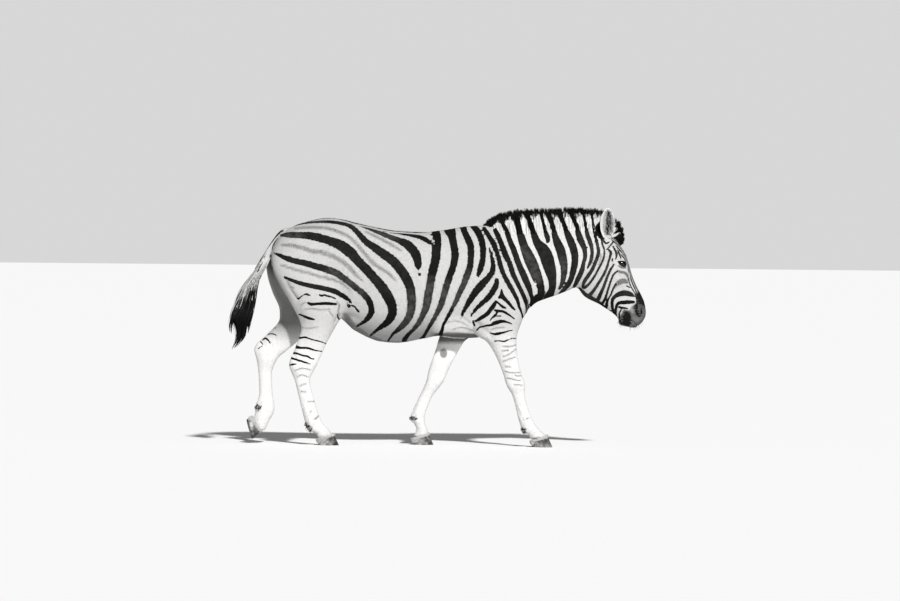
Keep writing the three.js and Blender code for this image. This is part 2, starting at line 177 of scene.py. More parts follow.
# %% Cross sections of the legs and the dock
# Columns: up, rear, front, middle of the width from the animal's middle, half width, roundness.
HIND_PLANTED = [
    (40, -736, -628, 110, 44, 2.2),
    (63, -739, -640, 110, 38, 2.2),
    (98, -797, -667, 110, 34, 2.1),
    (146, -811, -709, 110, 35, 2.1),
    (266, -843, -751, 112, 27, 2.3),
    (386, -874, -778, 115, 33, 2.3),
    (482, -908, -737, 117, 42, 2.1),
    (548, -886, -707, 119, 38, 1.9),
    (596, -867, -688, 121, 45, 1.9),
    (698, -839, -634, 125, 70, 2),
    (854, -905, -560, 122, 96, 2.1),
    (926, -942, -556, 120, 101, 2.1),
    (1082, -1008, -600, 108, 90, 2),
    (1166, -990, -650, 95, 70, 2),
    (1226, -935, -720, 85, 40, 2),
]
HIND_LIFTED = [
    (80, -1108, -1052, 118, 34, 2.1),
    (130, -1136, -1031, 118, 35, 2.1),
    (186, -1117, -1002, 118, 36, 2.1),
    (216, -1116, -997, 118, 36, 2.1),
    (300, -1094, -1010, 118, 28, 2.2),
    (414, -1099, -1015, 118, 28, 2.3),
    (504, -1112, -986, 118, 43, 2.2),
    (564, -1127, -922, 119, 40, 2),
    (594, -1115, -885, 120, 38, 1.9),
    (660, -1047, -816, 122, 53, 1.9),
    (756, -975, -728, 124, 82, 2),
    (816, -976, -662, 123, 91, 2.1),
    (876, -992, -610, 122, 97, 2.1),
    (1020, -1036, -572, 114, 100, 2.1),
    (1082, -1043, -600, 108, 92, 2),
    (1166, -1005, -650, 95, 70, 2),
    (1226, -940, -720, 85, 40, 2),
]
FORE_FORWARD = [
    (50, 533, 646, 106, 44, 2.2),
    (73, 530, 633, 106, 38, 2.2),
    (93, 494, 608, 106, 33, 2.2),
    (146, 473, 563, 106, 35, 2.1),
    (248, 446, 522, 107, 26, 2.3),
    (308, 427, 507, 108, 31, 2.3),
    (368, 393, 507, 110, 43, 2.5),
    (446, 368, 482, 112, 37, 2.1),
    (595, 297, 455, 118, 54, 2),
    (631, 266, 453, 120, 61, 2),
    (661, 222, 456, 121, 67, 2),
    (757, 185, 485, 121, 78, 2.1),
    (847, 184, 508, 116, 80, 2.1),
    (966, 201, 477, 104, 74, 2.1),
    (1086, 218, 422, 88, 58, 2),
    (1188, 235, 361, 70, 34, 2),
]
FORE_BACK = [
    (48, -172, -62, 108, 44, 2.2),
    (74, -150, -69, 108, 37, 2.2),
    (98, -146, -77, 108, 33, 2.2),
    (128, -160, -89, 108, 35, 2.1),
    (152, -182, -92, 108, 37, 2.1),
    (272, -139, -57, 110, 26, 2.3),
    (387, -88, 22, 112, 43, 2.5),
    (453, -74, 49, 114, 37, 2.1),
    (592, -28, 122, 118, 54, 2),
    (628, -19, 147, 119, 60, 2),
    (723, 34, 300, 120, 73, 2),
    (815, 84, 440, 118, 80, 2.1),
    (935, 142, 468, 107, 78, 2.1),
    (1086, 205, 415, 88, 58, 2),
    (1188, 235, 361, 70, 34, 2),
]
DOCK = [
    (1040, -1131, -1072, 0, 20, 2),
    (1070, -1113, -1062, 0, 24, 2),
    (1232, -1012, -958, 0, 25, 2),
    (1268, -985, -925, 0, 24, 2),
    (1290, -958, -925, 0, 14, 2),
]
print("rows", len(TRUNK) + len(NECK) + len(HEAD) + len(HIND_PLANTED) + len(FORE_BACK))


# %% [markdown]
# A cubic that never overshoots runs through each table. Finely sampled, the tables can then be read at any
# height by plain interpolation.

# %% Fine tables
FINE_STEP = 3.0


def fine_table(rows):
    rows = np.array(sorted(rows), float)
    x = rows[:, 0]
    slope = np.diff(rows, axis=0) / np.diff(x)[:, None]
    before, after = slope[:-1], slope[1:]
    agree = before * after > 0
    inner = np.where(agree, 2 * before * after / np.where(agree, before + after, 1), 0)
    tangent = np.vstack([slope[:1], inner, slope[-1:]])
    at = np.append(np.arange(x[0], x[-1], FINE_STEP), x[-1])
    i = np.clip(np.searchsorted(x, at, side="right") - 1, 0, len(x) - 2)
    span = (x[i + 1] - x[i])[:, None]
    t = (at - x[i])[:, None] / span
    made = (2 * t**3 - 3 * t**2 + 1) * rows[i] + (t**3 - 2 * t**2 + t) * span * tangent[i]
    made += (3 * t**2 - 2 * t**3) * rows[i + 1] + (t**3 - t**2) * span * tangent[i + 1]
    made[:, 0] = at
    return made


def read_table(table, at):
    return [np.interp(at, table[:, 0], table[:, k]) for k in range(1, table.shape[1])]


# %% [markdown]
# Each section gives a distance along the ray from its middle, less than nothing inside. Two distances are
# joined by a smooth minimum, whose reach is the size of the fillet.

# %% Distance to one loft
def ray_distance(across, up, half, reach, roundness):
    a = np.abs(across) / half
    b = np.abs(up) / reach
    level = np.maximum((a**roundness + b**roundness) ** (1 / roundness), 1e-3)
    return np.hypot(across, up) * (1 - 1 / level)


def capped(distance, beyond):
    outside = (distance > 0) & (beyond > 0)
    return np.where(outside, np.hypot(distance, beyond), np.maximum(distance, beyond))


def body_distance(table, points, inset):
    along, across, height = points.T
    bottom, top, half, waist, crown, keel = read_table(table, along)
    middle = bottom + waist * (top - bottom)
    up = height - middle
    reach = np.where(up > 0, top - middle, middle - bottom)
    roundness = np.where(up > 0, crown, keel)
    distance = ray_distance(across, up, half - inset, reach - inset, roundness)
    return capped(distance, np.maximum(table[0, 0] - along, along - table[-1, 0]) + inset)


def limb_distance(table, side, points, inset):
    x, y, height = points.T
    rear, front, middle, half, roundness = read_table(table, height)
    across = y - side * middle
    reach = (front - rear) / 2 - inset
    distance = ray_distance(across, x - (front + rear) / 2, half - inset, reach, roundness)
    return capped(distance, np.maximum(table[0, 0] - height, height - table[-1, 0]))


def to_head(points):
    """Table points in the head's own frame: along the nose, across, and up from the jaw to the brow."""
    return pitched(points - HEAD_AT, -HEAD_PITCH)


def from_head(points):
    return pitched(np.asarray(points, float), HEAD_PITCH) + HEAD_AT


def soft_min(a, b, reach):
    share = np.clip(0.5 + 0.5 * (b - a) / reach, 0, 1)
    return b * (1 - share) + a * share - reach * share * (1 - share)


# %% [markdown]
# Muscles and bones stand out from the sections as soft bumps, and hollows are bumps the other way. They are
# listed by their middle, their reach along each axis and their height, and are the same on both sides.

# %% Muscles and bones
BODY_FORMS = [
    (-880, 160, 1190, 90, 70, 90, 8),  # rump
    (-625, 205, 1235, 60, 60, 55, 10),  # point of the hip
    (-500, 225, 1150, 80, 80, 110, -14),  # hollow of the flank
    (-940, 125, 1010, 80, 80, 110, 8),  # back of the thigh
    (-560, 180, 860, 60, 60, 80, 8),  # stifle
    (445, 140, 960, 70, 80, 80, 12),  # point of the shoulder
    (330, 180, 1010, 60, 60, 150, 8),  # shoulder blade
    (235, 185, 780, 70, 60, 70, 10),  # upper arm
    (455, 60, 800, 60, 50, 70, 10),  # breast
]
HEAD_FORMS = [
    (60, 80, -70, 70, 60, 60, 8),  # cheek muscle
    (118, 95, 165, 34, 30, 22, 8),  # brow over the eye
    (190, 75, 70, 60, 40, 14, 6),  # cheek ridge
    (300, 60, 40, 60, 40, 45, -7),  # hollow before the cheek
    (428, 50, 66, 26, 30, 24, 6),  # nostril wing
    (402, 20, -80, 24, 40, 24, 5),  # chin
]


def bumps(forms, points):
    height = np.zeros(len(points))
    for x, y, z, reach_x, reach_y, reach_z, size in forms:
        spread = ((points[:, 0] - x) / reach_x) ** 2
        spread += ((np.abs(points[:, 1]) - y) / reach_y) ** 2
        spread += ((points[:, 2] - z) / reach_z) ** 2
        height += size * np.exp(-spread)
    return height


# %% The whole body as one distance
COAT_DEPTH = 4.0
LEG_COAT = 2.5
FAR = 400.0
TABLES = dict(trunk=TRUNK, neck=NECK, head=HEAD, dock=DOCK)
TABLES |= dict(hind_right=HIND_PLANTED, hind_left=HIND_LIFTED, fore_right=FORE_FORWARD, fore_left=FORE_BACK)
LOFTS = {name: fine_table(rows) for name, rows in TABLES.items()}
LEG_SIDES = dict(hind_right=RIGHT, hind_left=LEFT, fore_right=RIGHT, fore_left=LEFT)
FILLETS = dict(neck=70, head=36, dock=34, hind=60, fore=60)
HEAD_BOX = ((-104, 480), (-99, 99), (-155, 207))  # along, across and up, in the head's own frame


def near_box(points, low, high):
    return np.all((points > low) & (points < high), axis=1)


BOX_MARGIN = 110


def part_boxes():
    boxes = {}
    for name, table in LOFTS.items():
        if name in ("trunk", "neck"):
            half = table[:, 3].max()
            low = [table[0, 0], -half, table[:, 1].min()]
            high = [table[-1, 0], half, table[:, 2].max()]
        elif name == "head":
            around = from_head(np.stack(np.meshgrid(*HEAD_BOX), -1).reshape(-1, 3))
            low, high = around.min(0), around.max(0)
        else:
            half = (table[:, 3] + table[:, 4]).max()
            low = [table[:, 1].min(), -half, table[0, 0]]
            high = [table[:, 2].max(), half, table[-1, 0]]
        boxes[name] = (np.array(low) - BOX_MARGIN, np.array(high) + BOX_MARGIN)
    return boxes


BOXES = part_boxes()


def part_distance(name, points):
    if name in ("trunk", "neck"):
        return body_distance(LOFTS[name], points, COAT_DEPTH)
    if name == "head":
        own = to_head(points)
        return body_distance(LOFTS[name], own, LEG_COAT) - bumps(HEAD_FORMS, own)
    if name == "dock":
        return limb_distance(LOFTS[name], 1, points, LEG_COAT)
    return limb_distance(LOFTS[name], LEG_SIDES[name], points, LEG_COAT)


def flesh_distance(points):
    total = np.full(len(points), FAR)
    for name, (low, high) in BOXES.items():
        inside = near_box(points, low, high)
        if not inside.any():
            continue
        here = part_distance(name, points[inside])
        if name == "trunk":
            total[inside] = here
            continue
        total[inside] = soft_min(total[inside], here, FILLETS[name.split("_")[0]])
    return total - bumps(BODY_FORMS, points)


def slope_of(points):
    """How fast the distance rises along each axis, over a millimetre to both sides."""
    rises = [flesh_distance(points + shift) - flesh_distance(points - shift) for shift in np.eye(3)]
    return np.column_stack(rises) / 2


# %% [markdown]
# ## From distance to mesh
# A grid of points reads the distance, and each cell that the surface crosses gets one corner of the mesh,
# at the middle of its crossings. The corners are then pulled onto the surface exactly, and evened out.

# %% A mesh round the zero of a grid
def net_of(values, origin, cell):
    inside = values < 0
    shape = np.array(values.shape) - 1
    count = np.zeros(shape, np.int8)
    corners = [(i, j, k) for i in (0, 1) for j in (0, 1) for k in (0, 1)]

    def window(array, corner):
        return array[tuple(slice(c, c + n) for c, n in zip(corner, shape))]

    for corner in corners:
        count += window(inside, corner)
    mixed = (count > 0) & (count < 8)
    cells = np.argwhere(mixed)
    number = np.full(shape, -1)
    number[mixed] = np.arange(len(cells))
    total = np.zeros((len(cells), 3))
    crossings = np.zeros(len(cells))
    for a in corners:
        for axis in range(3):
            if a[axis]:
                continue
            b = tuple(1 if k == axis else a[k] for k in range(3))
            at_a = values[tuple((cells + a).T)]
            at_b = values[tuple((cells + b).T)]
            cross = (at_a < 0) != (at_b < 0)
            share = np.where(cross, at_a / np.where(cross, at_a - at_b, 1), 0)
            place = np.array(a, float) + share[:, None] * np.eye(3)[axis]
            total += np.where(cross[:, None], place, 0)
            crossings += cross
    points = origin + cell * (cells + total / crossings[:, None])
    faces = []
    for axis in range(3):
        first, second = [(1, 2), (2, 0), (0, 1)][axis]
        low = [slice(1, n) for n in shape]
        low[axis] = slice(0, shape[axis])
        high = list(low)
        high[axis] = slice(1, shape[axis] + 1)
        changed = inside[tuple(low)] != inside[tuple(high)]
        place = np.argwhere(changed) + np.array([0 if k == axis else 1 for k in range(3)])
        out = inside[tuple(low)][changed]
        ring = []
        for back_first, back_second in [(1, 1), (0, 1), (0, 0), (1, 0)]:
            shift = np.zeros(3, int)
            shift[first], shift[second] = back_first, back_second
            ring.append(number[tuple((place - shift).T)])
        quad = np.column_stack(ring)
        quad[~out] = quad[~out][:, ::-1]
        faces.append(quad)
    return points, np.vstack(faces)


# %% Read the grid and take the first mesh
GRID = 13.2  # millimetres between the grid's points
GRID_LOW = np.array([-1160.0, -282.0, 22.0])
GRID_HIGH = np.array([1262.0, 282.0, 1392.0])
SLAB = 24  # layers of the grid that are read at once
axes = [np.arange(low, high, GRID) for low, high in zip(GRID_LOW, GRID_HIGH)]
grid_shape = tuple(len(axis) for axis in axes)
grid_values = np.empty(grid_shape)
for start in range(0, grid_shape[0], SLAB):
    block = np.stack(np.meshgrid(axes[0][start : start + SLAB], axes[1], axes[2], indexing="ij"), -1)
    found = flesh_distance(block.reshape(-1, 3))
    grid_values[start : start + SLAB] = found.reshape(block.shape[:3])
skin_points, skin_faces = net_of(grid_values, GRID_LOW, GRID)
print("first net", len(skin_points), "corners", len(skin_faces), "faces")


# %% Pull corners onto the surface and even them out
LEAST_STEEP = 0.2
FURTHEST_MOVE = 12
SETTLE_ROUNDS = 2
EVEN_SHARE = 0.5  # how far a point moves towards the middle of its neighbours


def settle(points):
    """Points moved onto the surface."""
    for _ in range(SETTLE_ROUNDS):
        distance = flesh_distance(points)
        slope = slope_of(points)
        steep = np.maximum((slope**2).sum(1), LEAST_STEEP)
        move = np.clip(distance / steep, -FURTHEST_MOVE, FURTHEST_MOVE)
        points = points - slope * move[:, None]
    return points


def face_edges(faces):
    pairs = np.vstack([faces[:, [k, (k + 1) % faces.shape[1]]] for k in range(faces.shape[1])])
    return np.unique(np.sort(pairs, axis=1), axis=0)


def neighbour_mean(points, edges):
    a, b = edges.T
    count = np.bincount(a, minlength=len(points)) + np.bincount(b, minlength=len(points))
    mean = np.empty_like(points)
    for k in range(points.shape[1]):
        total = np.bincount(a, points[b, k], len(points)) + np.bincount(b, points[a, k], len(points))
        mean[:, k] = total / np.maximum(count, 1)
    return mean


def even_out(points, edges, rounds):
    for _ in range(rounds):
        points = points + EVEN_SHARE * (neighbour_mean(points, edges) - points)
    return points


skin_edges = face_edges(skin_faces)
for _ in range(2):
    skin_points = settle(even_out(skin_points, skin_edges, 2))
print("skin area m2", round(len(skin_faces) * GRID**2 * 1e-6, 2))

# %% [markdown]
# The stripes on the face, the legs, the shoulder and the thigh are only a finger wide, so the mesh is made
# finer there before anything is drawn on it. The rest can stay coarser, because its stripes are broad.

# %% Finer faces where the marks are fine
skin_mesh = bpy.data.meshes.new("zebra_skin")
skin_mesh.from_pydata(skin_points.tolist(), [], skin_faces.tolist())


def read_rows(items, name, width, kind=np.float32):
    flat = np.empty(len(items) * width, kind)
    items.foreach_get(name, flat)
    return flat.reshape(-1, width)


def read_points(mesh):
    return read_rows(mesh.vertices, "co", 3).astype(float)


def read_edges(mesh):
    return read_rows(mesh.edges, "vertices", 2, np.int32)


def read_normals(mesh):
    return read_rows(mesh.vertex_normals, "vector", 3).astype(float)


def write_points(mesh, points):
    mesh.vertices.foreach_set("co", np.asarray(points, np.float32).ravel())
    mesh.update()


def refine(mesh, chosen):
    made = bmesh.new()
    made.from_mesh(mesh)
    made.faces.ensure_lookup_table()
    edges = {edge for index in np.flatnonzero(chosen) for edge in made.faces[index].edges}
    bmesh.ops.subdivide_edges(made, edges=list(edges), cuts=1, use_grid_fill=True)
    made.to_mesh(mesh)
    made.free()
    mesh.update()


def in_boxes(points, boxes):
    """Whether each point lies in one of the boxes, which hold forward, how far out, and up."""
    folded = points * 1.0
    folded[:, 1] = np.abs(points[:, 1])
    inside = [near_box(folded, np.array(low, float), np.array(high, float)) for low, high in boxes]
    return np.any(inside, axis=0)


ANY = 9999
FINE_BODY = [
    ((-ANY, -1, 130), (ANY, ANY, 650)),  # legs
    ((-ANY, -1, 640), (-930, ANY, 730)),  # left hock
    ((190, 60, 640), (500, ANY, 940)),  # shoulder
    ((-950, 110, 700), (-590, ANY, 925)),  # thigh
]
FINE_HEAD = [
    [((-70, -1, -190), (520, 120, 230))],  # the whole head
    [
        ((60, 30, 85), (190, 130, 205)),  # round the eyes
        ((372, -1, -110), (520, 90, 130)),  # muzzle
        ((-30, -1, 112), (350, 62, 230)),  # front of the face
    ],
    [
        ((82, 40, 108), (168, 130, 188)),  # lids
        ((398, 18, 30), (470, 90, 95)),  # nostrils
    ],
]
for body_boxes, head_boxes in zip((FINE_BODY, [], []), FINE_HEAD):
    centres = read_rows(skin_mesh.polygons, "center", 3).astype(float)
    refine(skin_mesh, in_boxes(centres, body_boxes) | in_boxes(to_head(centres), head_boxes))
    relaxed = even_out(read_points(skin_mesh), read_edges(skin_mesh), 1)
    write_points(skin_mesh, settle(relaxed))
skin_points = read_points(skin_mesh)
print("skin", len(skin_mesh.vertices), "corners", len(skin_mesh.polygons), "faces")

# %% [markdown]
# ## The stripes
# Stripes could be painted as an image, but then they would blur close up. Each one is drawn here as a stroke
# in a chart of the animal's side: a row of "across, down, width" in chart units of 6 mm. The mesh then keeps,
# at each corner, the distance to the nearest stripe's edge, and the material turns that into black and white.

# %% Strokes of the hindquarters and the barrel
STRIPES = {
    "rump_first": "289 227.3 1, 300 223.8 1.5, 312 222.3 1.7, 322 221.8 2.2, 330 221.9 2.7, 338 222.8 3,"
    "347 224.8 3.6, 353.2 228 4.2, 360 235.2 5.4, 367 242.6 6.4, 375 248 7.6, 384 254.5 8.8,"
    "393 261 9.3, 400 269 9.5, 406 278 9.5, 410 287 9, 411.5 298 8.5, 411.5 308 8, 409.5 316 7,"
    "405 323 6, 399 329 4.5, 393 334 2.5, 388 341 1.5",
    "rump_second": "281 235.4 2, 290 234.8 5.3, 300 235.3 6, 310 235.8 7.2, 320 238 8, 330 241 8,"
    "340 245 10, 350 252 11, 357 260 9, 365 268 9, 373 277 9, 381 286 10, 387 295 10, 391 303 9.5,"
    "392.5 310 9, 391.5 316 8.5, 388 321.5 7, 383 325.5 5, 377 330 3, 370 336 1.5",
    "rump_third": "274 253 1.4, 280 255.5 3.2, 287 258.5 5, 295 261 5.4, 305 263.2 5.8, 315 266 6.2,"
    "325 269 6.6, 335 272.5 6.6, 342 277 6.2, 350 283 5.7, 358 289.5 5.7, 364 294.5 5.7, 369 301 6.1,"
    "371.5 308 5.7, 371 313 5.7, 368 318 5, 363 322.5 3.2, 356 326.5 1.3",
    "rump_fourth": "284.5 277.4 2.4, 290 279.6 2.9, 298 282.6 3.6, 305 284.6 4.1, 315 286.7 4.5,"
    "325 288.7 4.7, 335 291.6 4.8, 342 295.5 4.4, 348 299.5 3.3, 351 302.5 1.8",
    "thigh_short": "308.4 303 2.2, 311.1 304.2 2.8, 316.5 303.9 2.5, 324.6 303.5 2.8, 330 303.7 2.6,"
    "335.7 304.2 2.2",
    "thigh_low": "298.7 314.7 1, 303.7 316.3 2, 308.4 318.2 2.6, 311.5 319 2.2, 314.5 319.5 0.8",
    "loin": "352 222.5 1.5, 365 227 2.5, 375 231 3, 380 233 3.5, 390 237 4.5, 400 241 6, 408 245 8.5,"
    "415 253 9, 417.6 261 8, 418.2 265.5 6, 418.3 268.6 3",
    "loin_thin": "347 221 0.8, 359.4 223.5 0.8, 365.6 224.9 0.8, 384.2 228.8 0.8, 393.5 231 0.8,"
    "402.8 231.4 0.9, 408 231.6 1.1, 412.8 232.2 1.2, 419 232.4 1.2, 424.2 233.3 1.2, 427.5 234 1.2,"
    "431.8 235 1.4, 434 236 2",
    "dock_rear": "283 230.8 1, 280 232.5 1, 275 237.5 1, 270 244 1, 264 252.5 1, 259.5 261 1",
    "dock_marks": "265.3 257.2 1.8, 264.5 257.6 1.8",
    "dock_marks_low": "263.6 263 1.6, 262.4 263.4 1.4",
    "dock_marks_end": "261 266.6 1.6, 259.8 267.4 1.4",
    "loin_dot": "419.6 274.2 2.8, 419.8 275.6 2",
    "loin_short": "384 231.2 0.8, 392 232.4 1.2, 402 233.8 1.9, 410 235 2.6, 415 236 3.1, 421 237.6 3.9,"
    "426.6 240.2 4.4, 429.4 242.8 3.4",
    "barrel_first_cap": "428 230.5 1.5, 433 230.5 2, 438 230.5 2",
    "barrel_first": "435.6 231.5 7, 436.6 236 8.3, 436.8 241 8.8, 436.5 247 9, 436 255 8.8, 435 262 8.6,"
    "433 270 8.4, 431.2 278 8, 429.9 287 7.9, 428 296 7.9, 427 303 7.4, 425 310 6.6, 422 317 5.2,"
    "418 324 4.7, 413 330 3.2, 408 335 3.6, 404 341 4.2, 409 342.5 1.5",
    "barrel_second": "449.5 229.6 11, 451 233 9.5, 452.3 238 7.5, 454 246 7.2, 455 255 7.2, 454 263 6.8,"
    "452 270 6.6, 449.5 277 6.5, 447 284 6.5, 445 291 6, 443 298 6, 441 305 5.5, 438 311 5, 434.5 318 4,"
    "431 324 3.5, 427.5 330 3, 424 336 3, 421.5 339.5 4",
    "barrel_third": "463 227 6, 465 233 6, 468 239 6.5, 470.5 246 6.5, 471 254 6.5, 470.5 262 6,"
    "469 270 6.5, 466 278 6, 463.5 285 5.5, 460 292 5, 457 299 4.5, 453.5 306 3.5, 450 313 3.4,"
    "446.5 319 3, 443.5 325 2.6, 441.8 331 3, 440 335.5 4.5",
    "barrel_fourth": "472.6 226.3 4.4, 476.6 230 6.2, 479.8 236 6.3, 482.3 243 6.3, 483 251 5.8,"
    "483 258 5.6, 481.5 265 5.8, 479.5 271 5, 478.3 275.5 3",
    "barrel_fifth": "489.4 248.4 1, 491 254 2.7, 492.5 261 4, 493.2 267 4.8, 491.7 273 5.2, 487 279 6.2,"
    "481.5 285 7.2, 476.5 291 7.2, 472 297 6.2, 468.5 303 5.2, 465 309 3.8, 462.5 313.5 2.8, 461 318 1.6",
}
# Short lines that only the right side carries. The line in the cleft between the dock and the rump is a
# painted shadow, and the two lines of the stifle are painted shade along its edge and its fold.
RIGHT_STRIPES = {
    "dock_cleft_painted_shadow": "280.6 236.2 1.0, 276 241.3 1.5, 273.4 247 1.7, 271.8 253 1.6, 270.5 259 1.6",
    "thigh_tick": "337.8 314.6 1.1, 338.6 317 1.2, 339.4 319.4 1",
    "thigh_faint_a": "297 299 1.4, 298.6 298.8 1.5, 300.3 297.2 1, 303 295.4 1, 306.4 294 1.5,"
    "308 294.8 1.8, 309.8 295.2 1",
    "thigh_faint_b": "319.2 294.6 1, 321.5 295.8 1.7, 324.5 295 1.4, 327.3 296 1.7, 331.3 296.9 1.2,"
    "335.3 298.6 1",
    "stifle_edge_painted_shade": "349.2 301.5 1.3, 347.4 305 1.1, 346 307.6 0.8",
    "stifle_fold": "348.6 308.4 1.3, 350 306.2 1.6, 352.1 305.4 1.6, 354 306.4 1.7, 356.5 309 1.7,"
    "359.5 312.8 1.3",
}
print(len(STRIPES), "strokes on the barrel and rump")

# %% Strokes of the shoulder and the neck
STRIPES |= {
    "shoulder_long": "484 228.5 3.5, 487 233 4.5, 490 238 4.5, 493 243 5, 495.5 249 4.5, 498 256 4,"
    "500 263 4.5, 502.5 271 4.5, 506 279 4.5, 510 286 4.5, 514 293 4, 517.5 300 3.5, 519.5 307 2.5,"
    "522 314 1.5, 523 319 2, 522 322 1",
    "shoulder_second": "496.8 280.4 4.2, 496.5 284 5, 494 289.6 5.6, 489.6 296 5.6, 484.5 301 4.9,"
    "479 306 3.9, 474.5 311 2.9, 471 316 1.5",
    "shoulder_third": "496 301 1.5, 494 305 4, 491 309 4, 487 314 4, 481 318 3.5, 475.5 321.5 2",
    "shoulder_spur": "497 302 1.6, 500 304.5 1.8, 503 307 2.4, 506.2 308.3 1",
    "chevron": "501.4 289.8 1.8, 501.6 293 3, 501.2 296 4, 499 297.8 2",
    "chevron_branch": "502 296 5, 505 299.2 3.6, 508.5 302.8 3, 512 307 2.4, 514.8 309.8 1.4",
    "shoulder_arc": "494.8 310.4 1.6, 497.7 310.8 2.4, 501.8 311.2 2.4, 506 313 2.2, 510.2 315.8 1.6,"
    "514.3 318.8 0.8",
    "shoulder_hook": "497.7 312 1.4, 496 314.2 1.6, 494.3 316.2 2.2, 491.8 318.3 1.4, 489.8 320.8 0.8",
    "shoulder_tick": "495 316 1, 501 316 1",
    "arm_band": "476.8 330.2 1.3, 478.9 327.9 1.4, 482.7 326.7 1.6, 486.8 325.4 1.8, 491 325 2.2,"
    "494.3 323.3 3.6, 498.5 322.1 3.6, 502.7 321.3 2.8, 506.8 322.1 1.8, 511.4 323.8 1",
    "armpit": "472.7 321.5 1.6, 474.4 325.6 1.6",
    "neck_first": "495 230 4, 498 236 5, 501 243 5, 503.5 250 6, 507 258 5.5, 510 264 5, 512.5 272 5,"
    "515.5 279 4.5, 519 286 4, 522 292 4, 525 299 4, 527 305 3.5, 527 311 2.5, 526 314 1",
    "neck_second": "501 220 4, 504 226 4.5, 507 232 5, 509.5 240 5, 513 248 5.5, 516 256 5.5,"
    "519 264 5.5, 522.5 272 6, 526 280 6, 529 287 5.5, 531 294 4, 532 300 3, 531 305 2",
    "neck_third": "514 211 6.5, 515 215 6.5, 517 222 7, 519 230 6.5, 521.5 238 7.5, 524 246 8,"
    "527 253 10, 530.5 261 11.5, 534 269 11, 537 277 10, 540 285 8, 541 292 7, 538.5 298 8, 534 303 7,"
    "531 305 3",
    "neck_fourth": "526 211 5, 527 215 5, 530 222 5.5, 532.5 229 5.5, 534.5 236 6.5, 537.5 243 8,"
    "543 250 12, 546.5 257 13, 548.5 264 12.5, 550.5 271 11, 552 278 8.5, 552.5 285 7, 551.5 291 6.5,"
    "549 296 8, 546 300 5",
    "neck_fork": "540 211 3, 541 215 3, 543 222 3, 545 229 3.5, 546.5 235 4.5, 548 240 4, 547.5 242.5 2",
    "neck_fifth": "547 210 5, 548 214 5, 551 221 5.5, 553.5 229 5, 555 236 6, 557.5 243 8, 560.5 250 9,"
    "562.5 258 8.5, 564 266 7, 564 273 6, 563 280 4.5, 561 286 3, 559 289 2",
    "neck_sixth": "558 210 5, 559 213 5, 562 220 5, 565 227 5, 567.5 234 6, 570.5 241 7.5,"
    "573.5 249 7.5, 575 257 7, 574.5 265 6.5, 573 272 6, 571 279 5, 568.5 284 5, 564.5 289 4, 560 294 3",
    "neck_seventh": "570 209 4.5, 571 213 4.5, 574 220 4.5, 577 227 4.5, 578.5 234 6, 581 241 6.5,"
    "584.5 249 5, 585 257 4, 583.4 263.3 3.8, 582 270 5, 578.5 278 4.8, 575.5 284 3.8, 573.3 288 1.8",
    "neck_eighth": "582 209 3, 583 213 3, 585 221 3, 586 228 3.5, 587.5 235 4.5, 590 242 4.5,"
    "592 250 3.5, 591.5 258 3.5, 589.5 264 3, 587.5 268 1.5",
    "neck_ninth": "590.8 209 3, 591.6 215 3, 592.8 221 2.6, 593.5 228 2.6, 594.8 235 2.6, 596.3 240.5 3,"
    "597.7 246.3 3.2, 598.5 252 3.4, 597.3 257.5 3.4, 595 263 3.4, 591.6 270.5 3.6, 587.3 277 3.8,"
    "584.3 281.7 3.4, 582.8 285.5 2.6, 582.6 288 1.5",
}
GAPS = {
    "white_in_third": "535 280 1, 536.5 287 1.6, 537 294 1.4, 536 298 0.8",
    "white_hook": "430 233 1, 433 238 1.6, 434 242 1.6, 433 246 1",
}
print(len(STRIPES), "strokes with the shoulder and neck")

